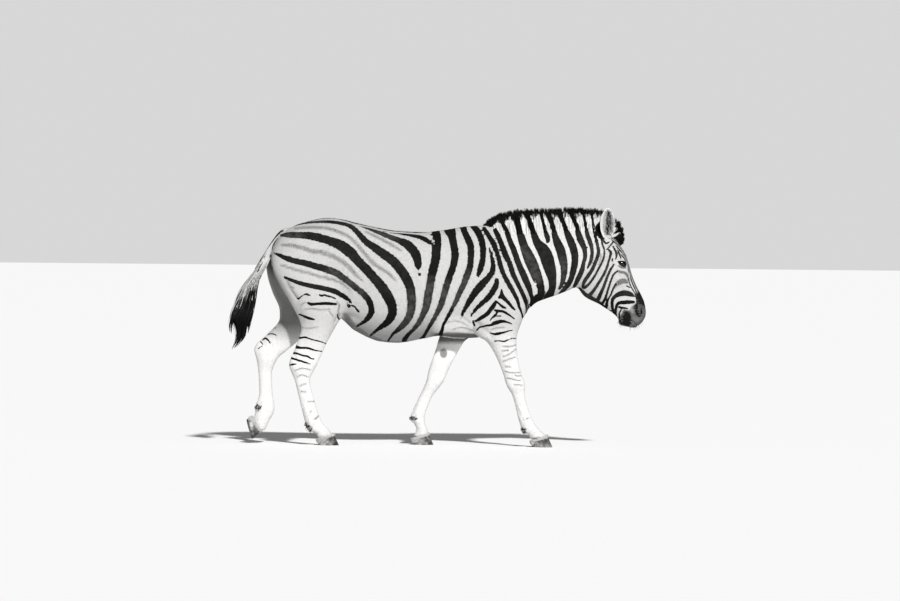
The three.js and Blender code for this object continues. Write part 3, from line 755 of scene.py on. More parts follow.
# %% Strokes of the head
HEAD_STRIPES = {
    "behind_ear": "601.4 239.7 1.8, 602.7 245.5 2, 604.2 249 1.8",
    "under_ear": "603.9 240.9 1.7, 605 242.8 1.8, 606.8 243.3 1.8, 608.9 242.2 1.6",
    "before_ear": "611.8 238.8 1.5, 613 241.3 1.7, 611.8 243.8 1.7, 609 247.2 1.4, 606.8 249.5 1.1",
    "temple": "613 246.6 1.7, 615 249.9 2.1, 616.3 253 2.6, 616.6 256 2.2, 615.6 259 1",
    "temple_dot": "612.4 258.8 1.5, 612.4 261 1.5",
    "cheek_first": "604.3 250 1.6, 604.2 255 2, 602.8 260.5 2.2, 600.2 265.5 2.4, 597 271.7 2.4,"
    "593.4 278 2.5, 588.7 284.2 2.6, 584.8 287.6 3, 582.6 287.5 2",
    "cheek_second": "608.5 249.7 2, 610.6 252.2 3, 610.2 256.3 2.4, 608.8 260.7 2.2, 607.4 266 2.5,"
    "605 272 2.8, 601.8 278 2.8, 598 284 3, 594 290 3.2, 590 295 3.8, 588.3 298 3.5",
    "cheek_third": "613.8 264.5 1.8, 611 269 2.4, 608 275 2.6, 605.8 281 2.8, 603.6 287 3,"
    "601.2 292.5 3.8, 599 297.5 4.2, 597.4 300.5 4",
    "cheek_fourth": "617.6 271.2 2, 615 273 2, 612.6 276.2 2, 610.5 282 2, 608.5 288 2.2, 606.8 294 2.5,"
    "604.8 299.5 2.8, 602 304 3",
    "cheek_fifth": "616 284 2.4, 613 289 2, 611 294 1.8, 609 298 2, 607.3 301.5 2.6, 606.6 305 3.4,"
    "605.6 309 3",
    "nose_first": "634 296.2 2, 631 294.6 4.6, 627 293.3 5.6, 623 293.3 5.8, 619 294.3 5.1,"
    "615.5 296.1 4.1, 613 298.9 3.6, 612 303 3.2, 612.5 308 3, 613.7 312 2.6, 616 316.5 2",
    "nose_second": "633.8 302.1 2.9, 629 302.1 4, 624.5 302.4 4.1, 619 303 3.4, 616.6 305.4 2.8,"
    "616 309.5 2.4, 615.7 314 2, 616.6 318 1.4",
    "nose_third": "627.5 308.4 1.6, 622.3 307.8 2.2, 618.3 307.1 1.8",
    "mouth_line": "621.5 309.5 1.4, 619.9 312 1.7, 619.2 314.8 1.7, 619.5 318 1.5",
    "nose_tick": "626.5 286 1.4, 630 287.4 1.3",
    "jaw_line": "579.5 289 3.4, 581.5 291.5 4.6, 585 295 5.1, 589 297.5 5.1, 593.5 300 5.1,"
    "598.5 303 4.6, 602.3 306 3.7, 605 309.3 3",
    "chin_tick": "609 311 1.5, 611 311 1.5",
    "behind_ear_patch": "599.4 222.4 1.6, 598.2 225.6 4.6, 598 229.5 5.6, 599.2 233 6, 600.8 236 5.8,"
    "602.8 237.6 4.6",
    "brow_first": "614.8 238 1.4, 615.8 240 1.8, 617.3 244.7 1.9, 618.1 249.7 1.9, 619.2 253.5 1.9,"
    "620.8 257.8 1.6",
    "brow_second": "618 243 1.3, 620 248 1.6, 621.4 252 1.7, 622.6 255.5 1.3",
    "brow_third": "621 244.8 1.3, 622.6 248 1.5, 624.4 251.6 1.5, 626 256.3 1.4, 627 260.8 1.2",
}
# Thin lines down the side of the nose, and the paler shadow stripes between the dark ones. The strokes of the
# ham's crease and of the flank among them are painted shade.
NOSE_LINES = {
    "nose_line_first": "628.5 278.4 1, 630.1 284.2 1.2, 633.5 290.7 1.2, 635.1 293.8 1.2, 636.6 299.5 1",
    "nose_line_second": "630.5 277.6 0.9, 632.8 284.2 1, 635.1 289.2 1, 636.6 292.6 1",
    "nose_line_third": "632 278.4 0.9, 635.1 284.2 1, 637.4 289.2 1, 638.5 291.8 1",
}
SHADOWS = {
    "rump_one_two": "295 228.5 1.8, 310 227.5 3.2, 325 228 3.2, 335 230.5 3.2, 345 234.5 3.2,"
    "352 239 3.2, 358 245.5 3.5, 365 254 3.5, 373 263 3.5, 380 268 3.5, 388 273 3, 396 281 1.5",
    "rump_two_three": "282 245 2.5, 292 245.5 4, 303 248 4.5, 312 251 4.5, 322 252.5 4.5, 332 256 4.5,"
    "342 261.5 4.5, 350 268 4.5, 356 275 3.5, 363 281 1.5",
    "rump_three_four": "281 265 1.5, 290 268 2.5, 300 271 2.8, 310 273.5 2.8, 320 276.5 2.8,"
    "332 279.5 2.8, 342 283.5 2.5, 350 290 1.5",
    "ham_crease_painted_shade": "286.5 281 1.4, 290 288 1.8, 294 294 1.8, 296.5 298.5 1.6",
    "jaw_stroke": "600.5 254 1.2, 601 257 1.2, 599.5 262 1.2, 598.5 265 1.2",
    "loin_faint": "366 232 1.8, 378 237.5 2.6, 390 244 2.6, 401 250.5 1.5",
    "flank_painted_shade": "345 315 4, 349 321 6, 357 329 6, 368 336.5 5, 380 340.5 4",
}
# The stroke under the eye is painted shade under the lower lid, which runs into the dark mark of the tear
# duct.
FACE_SHADOWS = {
    "nose_arch": "629 280.5 2, 627.9 276.5 2.3, 626.2 274 2.5, 624 272.6 2.6, 620.8 272 2.6,"
    "617.6 271 2.4",
    "nose_shade": "627.2 282.6 2.4, 624 281 4.8, 620 282.2 5, 616.5 284.6 3.6, 613.5 289 2, 611 295 1.6",
    "lower_lid_shade_and_tear": "618.6 265.8 1, 620 267 1.4, 622 267.8 1.6, 625.6 267.9 1.4",
}
# Painted shade along the belly's edge and in the folds of the armpit and the girth, and worn hairs, of the
# right side, which is the only one they are drawn for.
RIGHT_SHADOWS = {
    "belly_edge_painted_shade": "348 323.5 1, 353.5 328.3 1.3, 360 332.6 1.5, 367 336.2 1.6, 374 339 1.6,"
    "381.8 340.9 1.6, 391 341.9 1.4, 400.7 342 1.2",
    "arm_faint": "491.8 329.2 1.4, 496.8 327.9 1.8, 504.3 327.5 1.4",
    "armpit_fold_a": "444 324 1, 450 321.5 1.2, 456 321 1.2, 462 322.5 1.2, 468 326 1",
    "armpit_fold_b": "452 330 1, 460 327.5 1.2, 467 328.5 1.2, 473 331 1",
    "armpit_fold_c": "463 317 1, 467 319.5 1.2, 471 323.5 1",
    "girth_fold": "441 333.6 1.4, 450 333 1.4, 460 333.4 1.4, 470 335 1.6, 476 335.6 1.4",
    "thigh_worn_a": "291 287 1.4, 294 288.5 1.4",
    "thigh_worn_b": "305 309.5 1, 312 308.8 1.4, 322 309.8 1.4, 330 309 1",
    "thigh_worn_c": "301 327 1, 306 328.5 1.4, 318 327 1",
    "thigh_worn_d": "300.5 305.5 1, 304 303 1.2, 306.5 302.5 1.2",
    "thigh_worn_e": "329 311 1.2, 331 313.5 1.4, 333 316.5 1.2",
    "stifle_worn": "337 302 1.6, 339.5 306 2, 338.5 311 1.6, 340 316 1.6",
}
print(len(HEAD_STRIPES), "strokes on the head,", len(SHADOWS), "shadow strokes")

# %% Patches of painted sheen and wear, and strokes of the legs
# Patches where the black is painted lighter, partly as painted sheen of the hair and partly as worn hair.
SHEEN_AND_WEAR_PATCHES = {
    "rump_first_start": "312 222 3, 322 221.6 3",
    "jaw": "583 293 4, 594 300 4",
    "rump_start": "282 236 5, 290 235.5 7, 299 236.5 4",
    "loin_start": "352 222.5 3, 370 229 5, 392 237.5 6",
    "rump_low": "411 296 6, 411 308 9, 404 324 7",
    "barrel_first_low": "430.5 284 7, 428 297 11, 424 310 9, 417 325 6",
    "barrel_second_low": "446.5 287 5, 441 303 8, 434 318 7",
    "barrel_third_low": "467 276 4, 462 289 7, 456 302 6",
    "thigh_middle": "331 270 6, 346 280 8, 360 292 7",
    "neck_sheen_and_wear": "524 250 6, 531 262 8, 537 277 8",
    "neck_fifth_low": "563 262 6, 563 275 7, 560 286 5",
}
# The outer faces of the legs are drawn where the right legs stand, the inner faces where the left legs stand.
OUTER_LEG_STRIPES = {
    "hind_a": "299 338 2.2, 305 337.5 1.8, 312 339.5 1.5, 320 341.5 1.3, 327 344 1",
    "hind_b": "296.5 347 3.4, 301 348 2.4, 307 348 2.2, 312 349.5 1.9, 316 350.5 1.3, 322 351.5 0.8",
    "hind_c": "293.5 353 2, 297 353.5 2, 302 355.3 1.8, 308 356.5 2, 311 358.5 1.5, 314 359 1",
    "hind_d": "291 358 2.2, 296 359.5 2, 302 361.5 2, 307 363 1.5, 310 364 1",
    "hind_e": "289.5 365 1.5, 293 364.5 1.8, 296 364 1",
    "arm_a": "490 333.2 1.2, 495.2 334.2 2.6, 499.3 333.4 2.8, 504.3 332.5 2, 508.5 331 1.4,"
    "512.7 330.3 1",
    "arm_b": "494.3 341.3 1.4, 499.3 340.8 1.3, 504.3 341.5 1.8, 508.5 339.6 1.3, 512.7 338.3 1,"
    "516.8 338.6 0.8",
}
OUTER_LEG_SHADOWS = {
    "hind_f": "295 370.5 1, 299 369 1.2, 304 368.3 1.2, 310 370 1",
    "hind_g": "297 377 1, 302 375 1.2, 308 377 1",
    "hind_h": "300 386 1, 306 383.5 1",
    "hind_i": "301 391.5 1, 306 391.5 1",
    "hind_k": "308 401.8 0.8, 313 401.3 0.8, 316.5 402.6 0.8",
    "hind_l": "310.2 412.6 1, 311.2 411 1",
    "fore_fetlock": "526.3 419.2 1, 529 417.8 1",
    "hind_j": "314.6 419.6 1.4, 316.2 418.2 1.8, 318.3 416 1.2",
    "arm_c": "502.7 346.3 1.2, 507.7 346.7 1.5, 511.8 346.3 1.2, 516.8 344.6 1",
    "arm_d": "502 351 1.2, 508 350.5 1.5",
    "arm_e": "503 356.5 1.2, 508 355 1.2, 516 349 1",
    "arm_f": "503 361.5 1.2, 507 360 1.2, 515 357 1",
    "arm_g": "505 366.5 1.3, 510 367 1.3",
    "arm_h": "505 371 1, 510 372.5 1.2, 520 372.5 1",
    "arm_i": "515 375 1.2, 517 376 1.2, 521 376 1",
    "arm_j": "507 378 1.3, 512 379 1.4, 518 380.5 1.4, 521 380 1",
    "arm_k": "514 384.5 1, 522 385.5 1",
}
INNER_LEG_STRIPES = {
    "hock_a": "268 334.5 1, 271 333.8 1.2, 275 334.5 1.2, 276 336 1",
    "hock_b": "262 339.5 1.5, 265 338.3 1.8, 268 340 1.8, 270 343 1.2",
    "hock_c": "257.5 341.5 1.2, 260 341 1.3, 262.5 344.5 1",
    "hock_d": "258 349 1.2, 262 346 1.3",
}
INNER_LEG_SHADOWS = {"hock_dot": "275 328 1.2, 275.2 328 1.2"}
print(len(OUTER_LEG_STRIPES) + len(OUTER_LEG_SHADOWS), "strokes on the legs")

# %% [markdown]
# A corner of the mesh is found on the chart by looking at it from the side, from as far off as the camera.
# The left side reads the same chart, a little shifted, so that the two sides differ as on a real zebra.

# %% From the body to the chart
CHART_UNIT = 6.0  # millimetres at the middle of the animal
CHART_DISTANCE = CAMERA_DISTANCE / MM
CHART_EYE = (51.9, 1096.0)  # along and up, in the tables' frame
CHART_MIDDLE = (450.0, 300.5)
CHART_HORIZON = -37.5
CHART_TILT = math.radians(0.53)
SIDE_SHIFT = 2.2  # chart units by which the left side's stripes wander


def to_chart(points, nearer):
    scale = CHART_DISTANCE / (CHART_DISTANCE - nearer) / CHART_UNIT
    across = (points[:, 0] - CHART_EYE[0]) * scale
    down = CHART_HORIZON - (points[:, 2] - CHART_EYE[1]) * scale
    c, s = math.cos(CHART_TILT), math.sin(CHART_TILT)
    x = CHART_MIDDLE[0] + across * c - down * s
    y = CHART_MIDDLE[1] + across * s + down * c
    return np.column_stack([x, y])


def wander(chart, amount):
    x, y = chart.T
    shift_x = np.sin(y / 17 + 1.3) + 0.6 * np.sin(x / 11 + y / 23)
    shift_y = np.sin(x / 19 + 0.4) + 0.6 * np.sin(y / 13 - x / 29)
    return chart + amount[:, None] * np.column_stack([shift_x, shift_y])


# %% [markdown]
# Legs stand at other angles on the two sides. A leg's chart is carried over by the place between its rear
# and front edge, and by its joints: coronet, fetlock, cannon, hock or knee, and so on up.

# %% The same place on the other leg
# Heights of the joints, of the right leg and of the left.
HIND_JOINTS = ((40, 146, 266, 482, 596, 698, 854), (80, 216, 300, 564, 660, 756, 876))
FORE_JOINTS = ((50, 146, 248, 368, 446, 595, 661), (48, 152, 224, 387, 453, 592, 664))


def carried(points, source, target, joints_from, joints_to):
    rear, front = read_table(LOFTS[source], points[:, 2])[:2]
    share = (points[:, 0] - rear) / (front - rear)
    height = np.interp(points[:, 2], joints_from, joints_to)
    height += np.where(points[:, 2] > joints_from[-1], points[:, 2] - joints_from[-1], 0)
    other_rear, other_front = read_table(LOFTS[target], height)[:2]
    return np.column_stack([other_rear + share * (other_front - other_rear), points[:, 1], height])


OTHER_LEG = {
    "hind_right": ("hind_left", *HIND_JOINTS),
    "hind_left": ("hind_right", *HIND_JOINTS[::-1]),
    "fore_right": ("fore_left", *FORE_JOINTS),
    "fore_left": ("fore_right", *FORE_JOINTS[::-1]),
}
# Heights over which a leg's chart fades into the body's.
LEG_BLEND = {"hind": (800, 1000), "fore": (700, 900)}
print("legs", list(OTHER_LEG))

# %% [markdown]
# Every point is told which part of the body it belongs to, by the loft that lies nearest.

# %% Which part a point belongs to
PART_NAMES = list(LOFTS)


def is_part(part, name):
    return part == PART_NAMES.index(name)


def nearest_part(points):
    best = np.full(len(points), FAR)
    part = np.zeros(len(points), int)
    for index, name in enumerate(PART_NAMES):
        low, high = BOXES[name]
        inside = np.flatnonzero(near_box(points, low, high))
        distance = part_distance(name, points[inside])
        closer = distance < best[inside]
        best[inside[closer]] = distance[closer]
        part[inside[closer]] = index
    return part


def leg_side(points, part):
    """How far out on its leg a point is: 1 on the outer face, -1 on the inner face, and 1 off the legs."""
    out = np.ones(len(points))
    for name, side in LEG_SIDES.items():
        here = is_part(part, name)
        middle, half = read_table(LOFTS[name], points[here, 2])[2:4]
        out[here] = (side * points[here, 1] - middle) / half
    return out


print("parts", PART_NAMES)

# %% Distance to the strokes
SMOOTH_STEPS = 4  # pieces between two points of a stroke
CHART_REACH = 9.0  # chart units beyond which a stroke isn't felt


def rows_of(text):
    return np.array([[float(v) for v in row.split()] for row in text.split(",")])


def stroke_of(text):
    rows = rows_of(text)
    padded = np.vstack([2 * rows[0] - rows[1], rows, 2 * rows[-1] - rows[-2]])
    made = []
    for i in range(1, len(padded) - 2):
        a, b, c, d = padded[i - 1 : i + 3]
        for k in range(SMOOTH_STEPS):
            t = k / SMOOTH_STEPS
            cubic = (2 * a - 5 * b + 4 * c - d) * t**2 + (3 * b - a - 3 * c + d) * t**3
            made.append(0.5 * (2 * b + (c - a) * t + cubic))
    return np.array([*made, padded[-2]])


def near_line(line, chart, reach):
    low, high = line[:, :2].min(0) - reach, line[:, :2].max(0) + reach
    return np.flatnonzero(near_box(chart, low, high))


def along_line(line, spots):
    """For each piece of a line, how far the spots are from it and how wide it is beside them."""
    for start, end in zip(line[:-1], line[1:]):
        run = end[:2] - start[:2]
        share = np.clip(((spots - start[:2]) @ run) / max(run @ run, 1e-6), 0, 1)
        gap = np.hypot(*(spots - start[:2] - share[:, None] * run).T)
        yield gap, start[2] + share * (end[2] - start[2])


def stroke_distance(strokes, chart, thinnest=0.0):
    """Chart distance to the edge of the nearest stroke, less than nothing inside it."""
    best = np.full(len(chart), CHART_REACH)
    for text in strokes.values():
        line = stroke_of(text)
        line[:, 2] = np.maximum(line[:, 2], thinnest)
        near = near_line(line, chart, CHART_REACH)
        found = np.full(len(near), CHART_REACH)
        for gap, width in along_line(line, chart[near]):
            found = np.minimum(found, gap - 0.5 * width)
        best[near] = np.minimum(best[near], found)
    return best


print("points on the first stroke", len(stroke_of(STRIPES["rump_first"])))

# %% [markdown]
# Along the back runs a thin dark line that only shows from above, and under the belly another. On the
# front of the face the lines run down to the nose, which the side chart can't show, so they are drawn apart.

# %% Marks on the back, the belly and the front of the face
BACK_LINE_HALF = 9.0
BELLY_LINE_HALF = 16.0
CROWN_REACH = ((-860, -600), (40, 76))  # places along the back, and how far out the lines over it reach
LINE_PITCH = ((-60, 60, 200, 330, 420), (15, 17, 14.5, 12.5, 11.5))  # along the nose: from line to line
LINE_HALF = ((-60, 40, 200, 350, 410), (5.0, 5.2, 4.5, 3.9, 3.4))  # along the nose: half a line's width
FAR_OFF = 60  # millimetres that stand for no line near


def midline_distance(points, part):
    x, y, z = points.T
    across = np.abs(y + 3 * np.sin(x / 45))
    back = across - BACK_LINE_HALF * (0.7 + 0.5 * ramp(-x, 300, 900))
    back += FAR_OFF * ramp(x, 180, 260) + FAR_OFF * ramp(1230 - z, 0, 60)
    belly = across - BELLY_LINE_HALF * (0.7 + 0.3 * np.sin(x / 60))
    belly += FAR_OFF * ramp(z, 700, 760) + FAR_OFF * ramp(x, 200, 330)
    line = np.where(is_part(part, "trunk"), np.minimum(back, belly), FAR_OFF)
    return np.where(is_part(part, "dock") & (x > -1010), np.minimum(back, FAR_OFF), line)


def crown_distance(points):
    """A line on each side of the back's own line, over the loin and the croup."""
    x, across = points[:, 0], np.abs(points[:, 1])
    reach = np.interp(x, *CROWN_REACH)
    half = 0.16 * reach * (0.8 + 0.2 * np.sin(x / 31)) * ramp(x, -870, -780) * (1 - ramp(x, -150, -60))
    return np.abs(across - 0.47 * reach - 4 * np.sin(x / 47)) - half


def crown_share(points, part):
    over_loin = ramp(points[:, 0], -870, -830) * (1 - ramp(points[:, 0], -90, -60))
    reach = np.interp(points[:, 0], *CROWN_REACH)
    on_top = is_part(part, "trunk") * (points[:, 2] > 1150)
    return ramp(reach - np.abs(points[:, 1]), 0, 14) * over_loin * on_top


def face_front_distance(points):
    """Lines down the front of the face, in the head's own frame."""
    along, across, _ = to_head(points).T
    pitch = np.interp(along, *LINE_PITCH)
    bend = 6 * np.sin(along / 38) * ramp(120 - along, 0, 80)
    place = (np.abs(across) + bend) / pitch
    gap = np.abs(place - np.round(place)) * pitch
    return gap - np.interp(along, *LINE_HALF)


print("half width of the line on the back", BACK_LINE_HALF, "mm")

# %% Side chart and inner-leg chart
# Chart units that each edge of a stroke is moved out.
TRUNK_GAIN, NECK_GAIN, HEAD_GAIN = 0.2, 0.05, -0.03
FACE_LINE_UP = 0.66  # how far the surface must look forward before the front lines begin
# The chart's distances grow where the coat turns away from the side, but not beyond this share of facing it.
LEAST_SIDEWAYS = 0.15


def chart_of(points, part):
    """Side chart and inner-leg chart of each point, and how far out on its leg it is."""
    across = np.abs(points[:, 1])
    outer_points, inner_points = points.copy(), points.copy()
    for name, (other, joints, other_joints) in OTHER_LEG.items():
        here = np.flatnonzero(is_part(part, name))
        moved = carried(points[here], name, other, joints, other_joints)
        low, high = LEG_BLEND[name.split("_")[0]]
        share = (1 - ramp(points[here, 2], low, high))[:, None]
        moved = points[here] + share * (moved - points[here])
        if LEG_SIDES[name] == LEFT:
            outer_points[here] = moved
        else:
            inner_points[here] = moved
    outer = to_chart(outer_points, across)
    outer = wander(outer, SIDE_SHIFT * ramp(points[:, 1], 5, 70))
    inner = to_chart(inner_points, -across)
    return outer, inner, leg_side(points, part)


print("gains", TRUNK_GAIN, NECK_GAIN, HEAD_GAIN)

# %% [markdown]
# All marks together give three values: the distance to black, how dark a shadow stripe or a painted shade is,
# and how dark the bare skin of the muzzle is. Inside the black, the second is how far painted sheen and wear
# lift it to grey. A fourth, the tone with its painted shade and light, follows further down.

# %% Muzzle
# Edge of the bare muzzle in the head's frame: up, forward.
MUZZLE_EDGE = fine_table([
    (-95, 386),
    (-72, 372),
    (-42, 358),
    (-11, 352),
    (16, 364),
    (53, 366),
    (71, 359),
    (92, 334),
    (106, 314),
    (130, 312),
])
MUZZLE_SHARE = 0.88
FACE_FROM = 900  # everything further forward than this belongs to the head
MUZZLE_DARK = {
    "bridge": "638.5 293 4, 639.4 297 8, 640.4 300.6 9, 641.6 302.6 8",
    "column": "636.8 300 5.4, 636.2 306 6.2, 636.6 311 5.8, 638.2 315 5, 640 316.6 3",
    "nostril": "641.2 307.5 2.8, 640.8 311 3.4, 641.8 314 2.8",
    "chin": "625 311.6 3.6, 626.6 314.5 8.5, 627 318 10.8, 626.6 321.5 11.6, 627 324.5 8.6",
    "corner": "618.6 319 2.6, 620.8 322 5, 622 324 4",
    "lower_edge": "619 323 2, 624 325.4 2.4, 629 326.6 2, 634 327 2",
}
MUZZLE_GREY = {
    "upper_lip": "632 309 4, 634 314 4, 635.5 319 5, 640 319.5 5",
    "round_nostril": "643.5 311 2.4, 644 315 3, 642 318 3",
    "chin_front": "631.5 321 2, 631.5 326 2",
}
MUZZLE_LIGHT = {"lip_start": "627 309.5 2.5, 631 309.5 3, 632.5 312 2"}


def inside_share(strokes, chart, low, high):
    return ramp(-stroke_distance(strokes, chart), low, high)


def muzzle_dark(points, outer, facing):
    own = to_head(points)
    edge = np.interp(own[:, 2], MUZZLE_EDGE[:, 0], MUZZLE_EDGE[:, 1])
    edge += 4 * np.sin(own[:, 2] / 9.0)
    bare = ramp(own[:, 0] - edge, -5, 7) * (points[:, 0] > FACE_FROM)
    side_on = ramp(np.abs(unit(facing)[:, 1]), 0.2, 0.5)
    grey = inside_share(MUZZLE_GREY, outer, -1.5, 1.5) * side_on
    light = inside_share(MUZZLE_LIGHT, outer, -1.5, 1.5) * side_on
    base = bare * (MUZZLE_SHARE - 0.10 * grey - 0.3 * light)
    uneven = 1.2 * np.sin(own[:, 0] / 3.1 + 2.0 * np.sin(own[:, 2] / 5.3)) * np.sin(own[:, 2] / 11.0)
    strokes = ramp(uneven - stroke_distance(MUZZLE_DARK, outer), -1.6, 1.5)
    strokes = strokes * side_on * ramp(bare, 0.0, 0.3)
    on_top = ramp(own[:, 2], 78, 100) * bare
    return np.clip(np.maximum(np.maximum(base, strokes), on_top), 0, 1)


print("muzzle", MUZZLE_SHARE)

# %% Black of all strokes together
CHART_BOUND = 9.0
THIN_HEAD, THIN_OUTER, THIN_INNER = 1.3, 1.2, 1.1  # least widths of strokes, in chart units
FACE_FRONT = (-40, 395)  # along the nose, where the front lines run
STROKE_OFF = 6  # chart units that take a stroke out of sight


def inward(out):
    return STROKE_OFF * ramp(-out, 0.1, 0.5)


def outward(out):
    return STROKE_OFF * ramp(out, -0.2, 0.1)


def on_right(points, sideways, outer):
    """1 where the right side faces sideways, and less beside the dock, where it turns to the rear."""
    beside_dock = 1 - ramp(outer[:, 0], 285, 290)
    return ramp(-sideways, 0.02 + 0.1 * beside_dock, 0.15 + 0.25 * beside_dock) * (points[:, 1] < 0)


def black_distance(points, facing, part, outer, inner, out):
    side = stroke_distance(STRIPES, outer)
    side = np.maximum(side, -stroke_distance(GAPS, outer))
    side -= TRUNK_GAIN + (NECK_GAIN - TRUNK_GAIN) * ramp(outer[:, 0], 560, 580)
    side = np.minimum(side, stroke_distance(HEAD_STRIPES, outer, THIN_HEAD) - HEAD_GAIN)
    side = np.minimum(side, stroke_distance(NOSE_LINES, outer))
    sideways = unit(facing)[:, 1]
    only_right = STROKE_OFF * (1 - on_right(points, sideways, outer))
    side = np.minimum(side, stroke_distance(RIGHT_STRIPES, outer) - TRUNK_GAIN + only_right)
    side = np.minimum(side, stroke_distance(OUTER_LEG_STRIPES, outer, THIN_OUTER)) + inward(out)
    side /= np.clip(np.abs(sideways), LEAST_SIDEWAYS, 1)
    side += (crown_distance(points) / CHART_UNIT - side) * crown_share(points, part)
    breast = ramp(points[:, 0], 150, 220) * (1 - ramp(points[:, 2], 740, 790)) * (out > 0)
    side += 9 * breast * (1 - ramp(np.abs(sideways), 0.2, 0.5))
    along = to_head(points)[:, 0]
    looks_up = unit(facing) @ np.array([math.sin(HEAD_PITCH), 0, math.cos(HEAD_PITCH)])
    over_front = (looks_up > FACE_LINE_UP) & (along > FACE_FRONT[0]) & (along < FACE_FRONT[1])
    front = face_front_distance(points) / CHART_UNIT
    side = np.where(over_front & (points[:, 0] > FACE_FROM), front, side)
    black = np.minimum(side, midline_distance(points, part) / CHART_UNIT)
    return np.minimum(black, stroke_distance(INNER_LEG_STRIPES, inner, THIN_INNER) + outward(out))


print("least widths", THIN_HEAD, THIN_OUTER, THIN_INNER)

# %% Shadow of all strokes together
BODY_SHADE, FACE_SHADE, OUTER_LEG_SHADE, INNER_LEG_SHADE = 0.68, 1.2, 0.8, 0.92
BODY_FADE, FINE_FADE = 0.6, 0.4  # chart units over which a shadow's edge fades to each side
SHEEN_AND_WEAR_SHARE, SHEEN_AND_WEAR_FADE = 0.5, (-8.0, 3.0)
# How much painted sheen and wear lighten the black, from the rump to the head: chart places and shares.
SHEEN_AND_WEAR_PLACES = ((400, 420, 495, 520, 575, 592), (0.1, 0.02, 0.02, 0.12, 0.12, 0.34))


def shadow_share(points, facing, outer, inner, out, black):
    right = on_right(points, unit(facing)[:, 1], outer)
    shadow = BODY_SHADE * inside_share(SHADOWS, outer, -BODY_FADE, BODY_FADE)
    right_shadow = BODY_SHADE * inside_share(RIGHT_SHADOWS, outer, -BODY_FADE, BODY_FADE) * right
    face = FACE_SHADE * inside_share(FACE_SHADOWS, outer, -FINE_FADE, FINE_FADE)
    legs = -stroke_distance(OUTER_LEG_SHADOWS, outer, THIN_INNER) - inward(out)
    inner_legs = -stroke_distance(INNER_LEG_SHADOWS, inner, THIN_INNER) - outward(out)
    legs = OUTER_LEG_SHADE * ramp(legs, -FINE_FADE, FINE_FADE)
    inner_legs = INNER_LEG_SHADE * ramp(inner_legs, -FINE_FADE, FINE_FADE)
    for other in (right_shadow, face, legs, inner_legs):
        shadow = np.maximum(shadow, other)
    # Inside the black, the shadow value is painted sheen and worn hair, which lift the black to grey.
    worn = SHEEN_AND_WEAR_SHARE * inside_share(SHEEN_AND_WEAR_PATCHES, outer, *SHEEN_AND_WEAR_FADE)
    sheen_and_wear = np.interp(outer[:, 0], *SHEEN_AND_WEAR_PLACES) * (1 - ramp(outer[:, 1], 288, 300))
    sheen_and_wear *= 1 - ramp(outer[:, 0], 590, 597) * (1 - ramp(outer[:, 1], 238, 244))
    return np.where(black < 0.2, np.maximum(worn, sheen_and_wear), shadow)


def marks_of(points, facing, part, charts):
    black = black_distance(points, facing, part, *charts)
    return {
        "stripe": np.clip(black, -CHART_BOUND, CHART_BOUND) * CHART_UNIT * MM,
        "shadow": shadow_share(points, facing, *charts, black),
        "muzzle": muzzle_dark(points, charts[0], facing),
    }


print("shades", BODY_SHADE, FACE_SHADE, OUTER_LEG_SHADE, INNER_LEG_SHADE)

# %% Keep the marks on the skin
ALL_WHITE, ALL_BLACK = 0.02, -0.02  # metres from the edge of a stripe, for pieces of one colour


def store(mesh, name, values):
    kind, field = ("FLOAT_VECTOR", "vector") if np.ndim(values) == 2 else ("FLOAT", "value")
    if name not in mesh.attributes:
        mesh.attributes.new(name, kind, "POINT")
    mesh.attributes[name].data.foreach_set(field, np.asarray(values, np.float32).ravel())


skin_normals = read_normals(skin_mesh)
skin_part = nearest_part(skin_points)
skin_charts = chart_of(skin_points, skin_part)
skin_marks = marks_of(skin_points, skin_normals, skin_part, skin_charts)
for mark, values in skin_marks.items():
    store(skin_mesh, mark, values)
print("black share", round(float((skin_marks["stripe"] < 0).mean()), 3))

# %% [markdown]
# ## Folds and fine forms of the skin
# The eyes sit in sockets under lids, the nostrils are deep, the lips part in a line, and tendons show
# through thin skin on the legs. Each is a small push along the surface, so the mesh stays one closed skin.

# %% Lids, nostrils and lips
EYE_AT = np.array([121.0, 78.0, 145.0])  # in the head's frame
EYE_RADIUS = 22.5
EYE_TILT = math.radians(22)
# Rim of the opening round the eye: turn in degrees from the front, and distance.
LID_RIM = np.array([
    (-173, 25),
    (-157, 17),
    (-117, 12),
    (-67, 12.5),
    (-31, 18),
    (-20, 22.5),
    (-12, 25),
    (12, 21),
    (45, 19),
    (75, 17),
    (101, 14),
    (135, 13.5),
    (165, 18),
    (187, 25),
])
NOSTRIL_AT = np.array([424.0, 48.0, 66.0])
NOSTRIL_OPEN = (15.0, 6.5)
NOSTRIL_TILT = math.radians(-32)
# The line between the lips: along the nose, and up.
MOUTH_LINE = ((330, 372, 400, 430, 460, 480), (-30, -22, -20, -12, -6, -4))
LID_OVER_BALL = 3.4


def bell(value, middle, reach):
    return np.exp(-(((value - middle) / reach) ** 2))


def from_place(own, at):
    """Points of both sides, folded onto one side and measured from a place there, in the head's frame."""
    moved = own - at
    moved[:, 1] = np.abs(own[:, 1]) - at[1]
    return moved


def eye_chart(own):
    """Place of a point round its own eye: along the lids, across them, and out from the ball's middle."""
    moved = from_place(own, EYE_AT)
    return *turn_pair(moved[:, 0], moved[:, 2], EYE_TILT), moved[:, 1]


def rim_distance(turn):
    return np.interp(np.degrees(turn), LID_RIM[:, 0], LID_RIM[:, 1])


def lid_level(along, across):
    """1 on the rim of the opening, less inside it."""
    turn = np.arctan2(across, along)
    turn = np.where(turn < math.radians(LID_RIM[0, 0]), turn + 2 * np.pi, turn)
    return np.hypot(along, across) / rim_distance(turn)


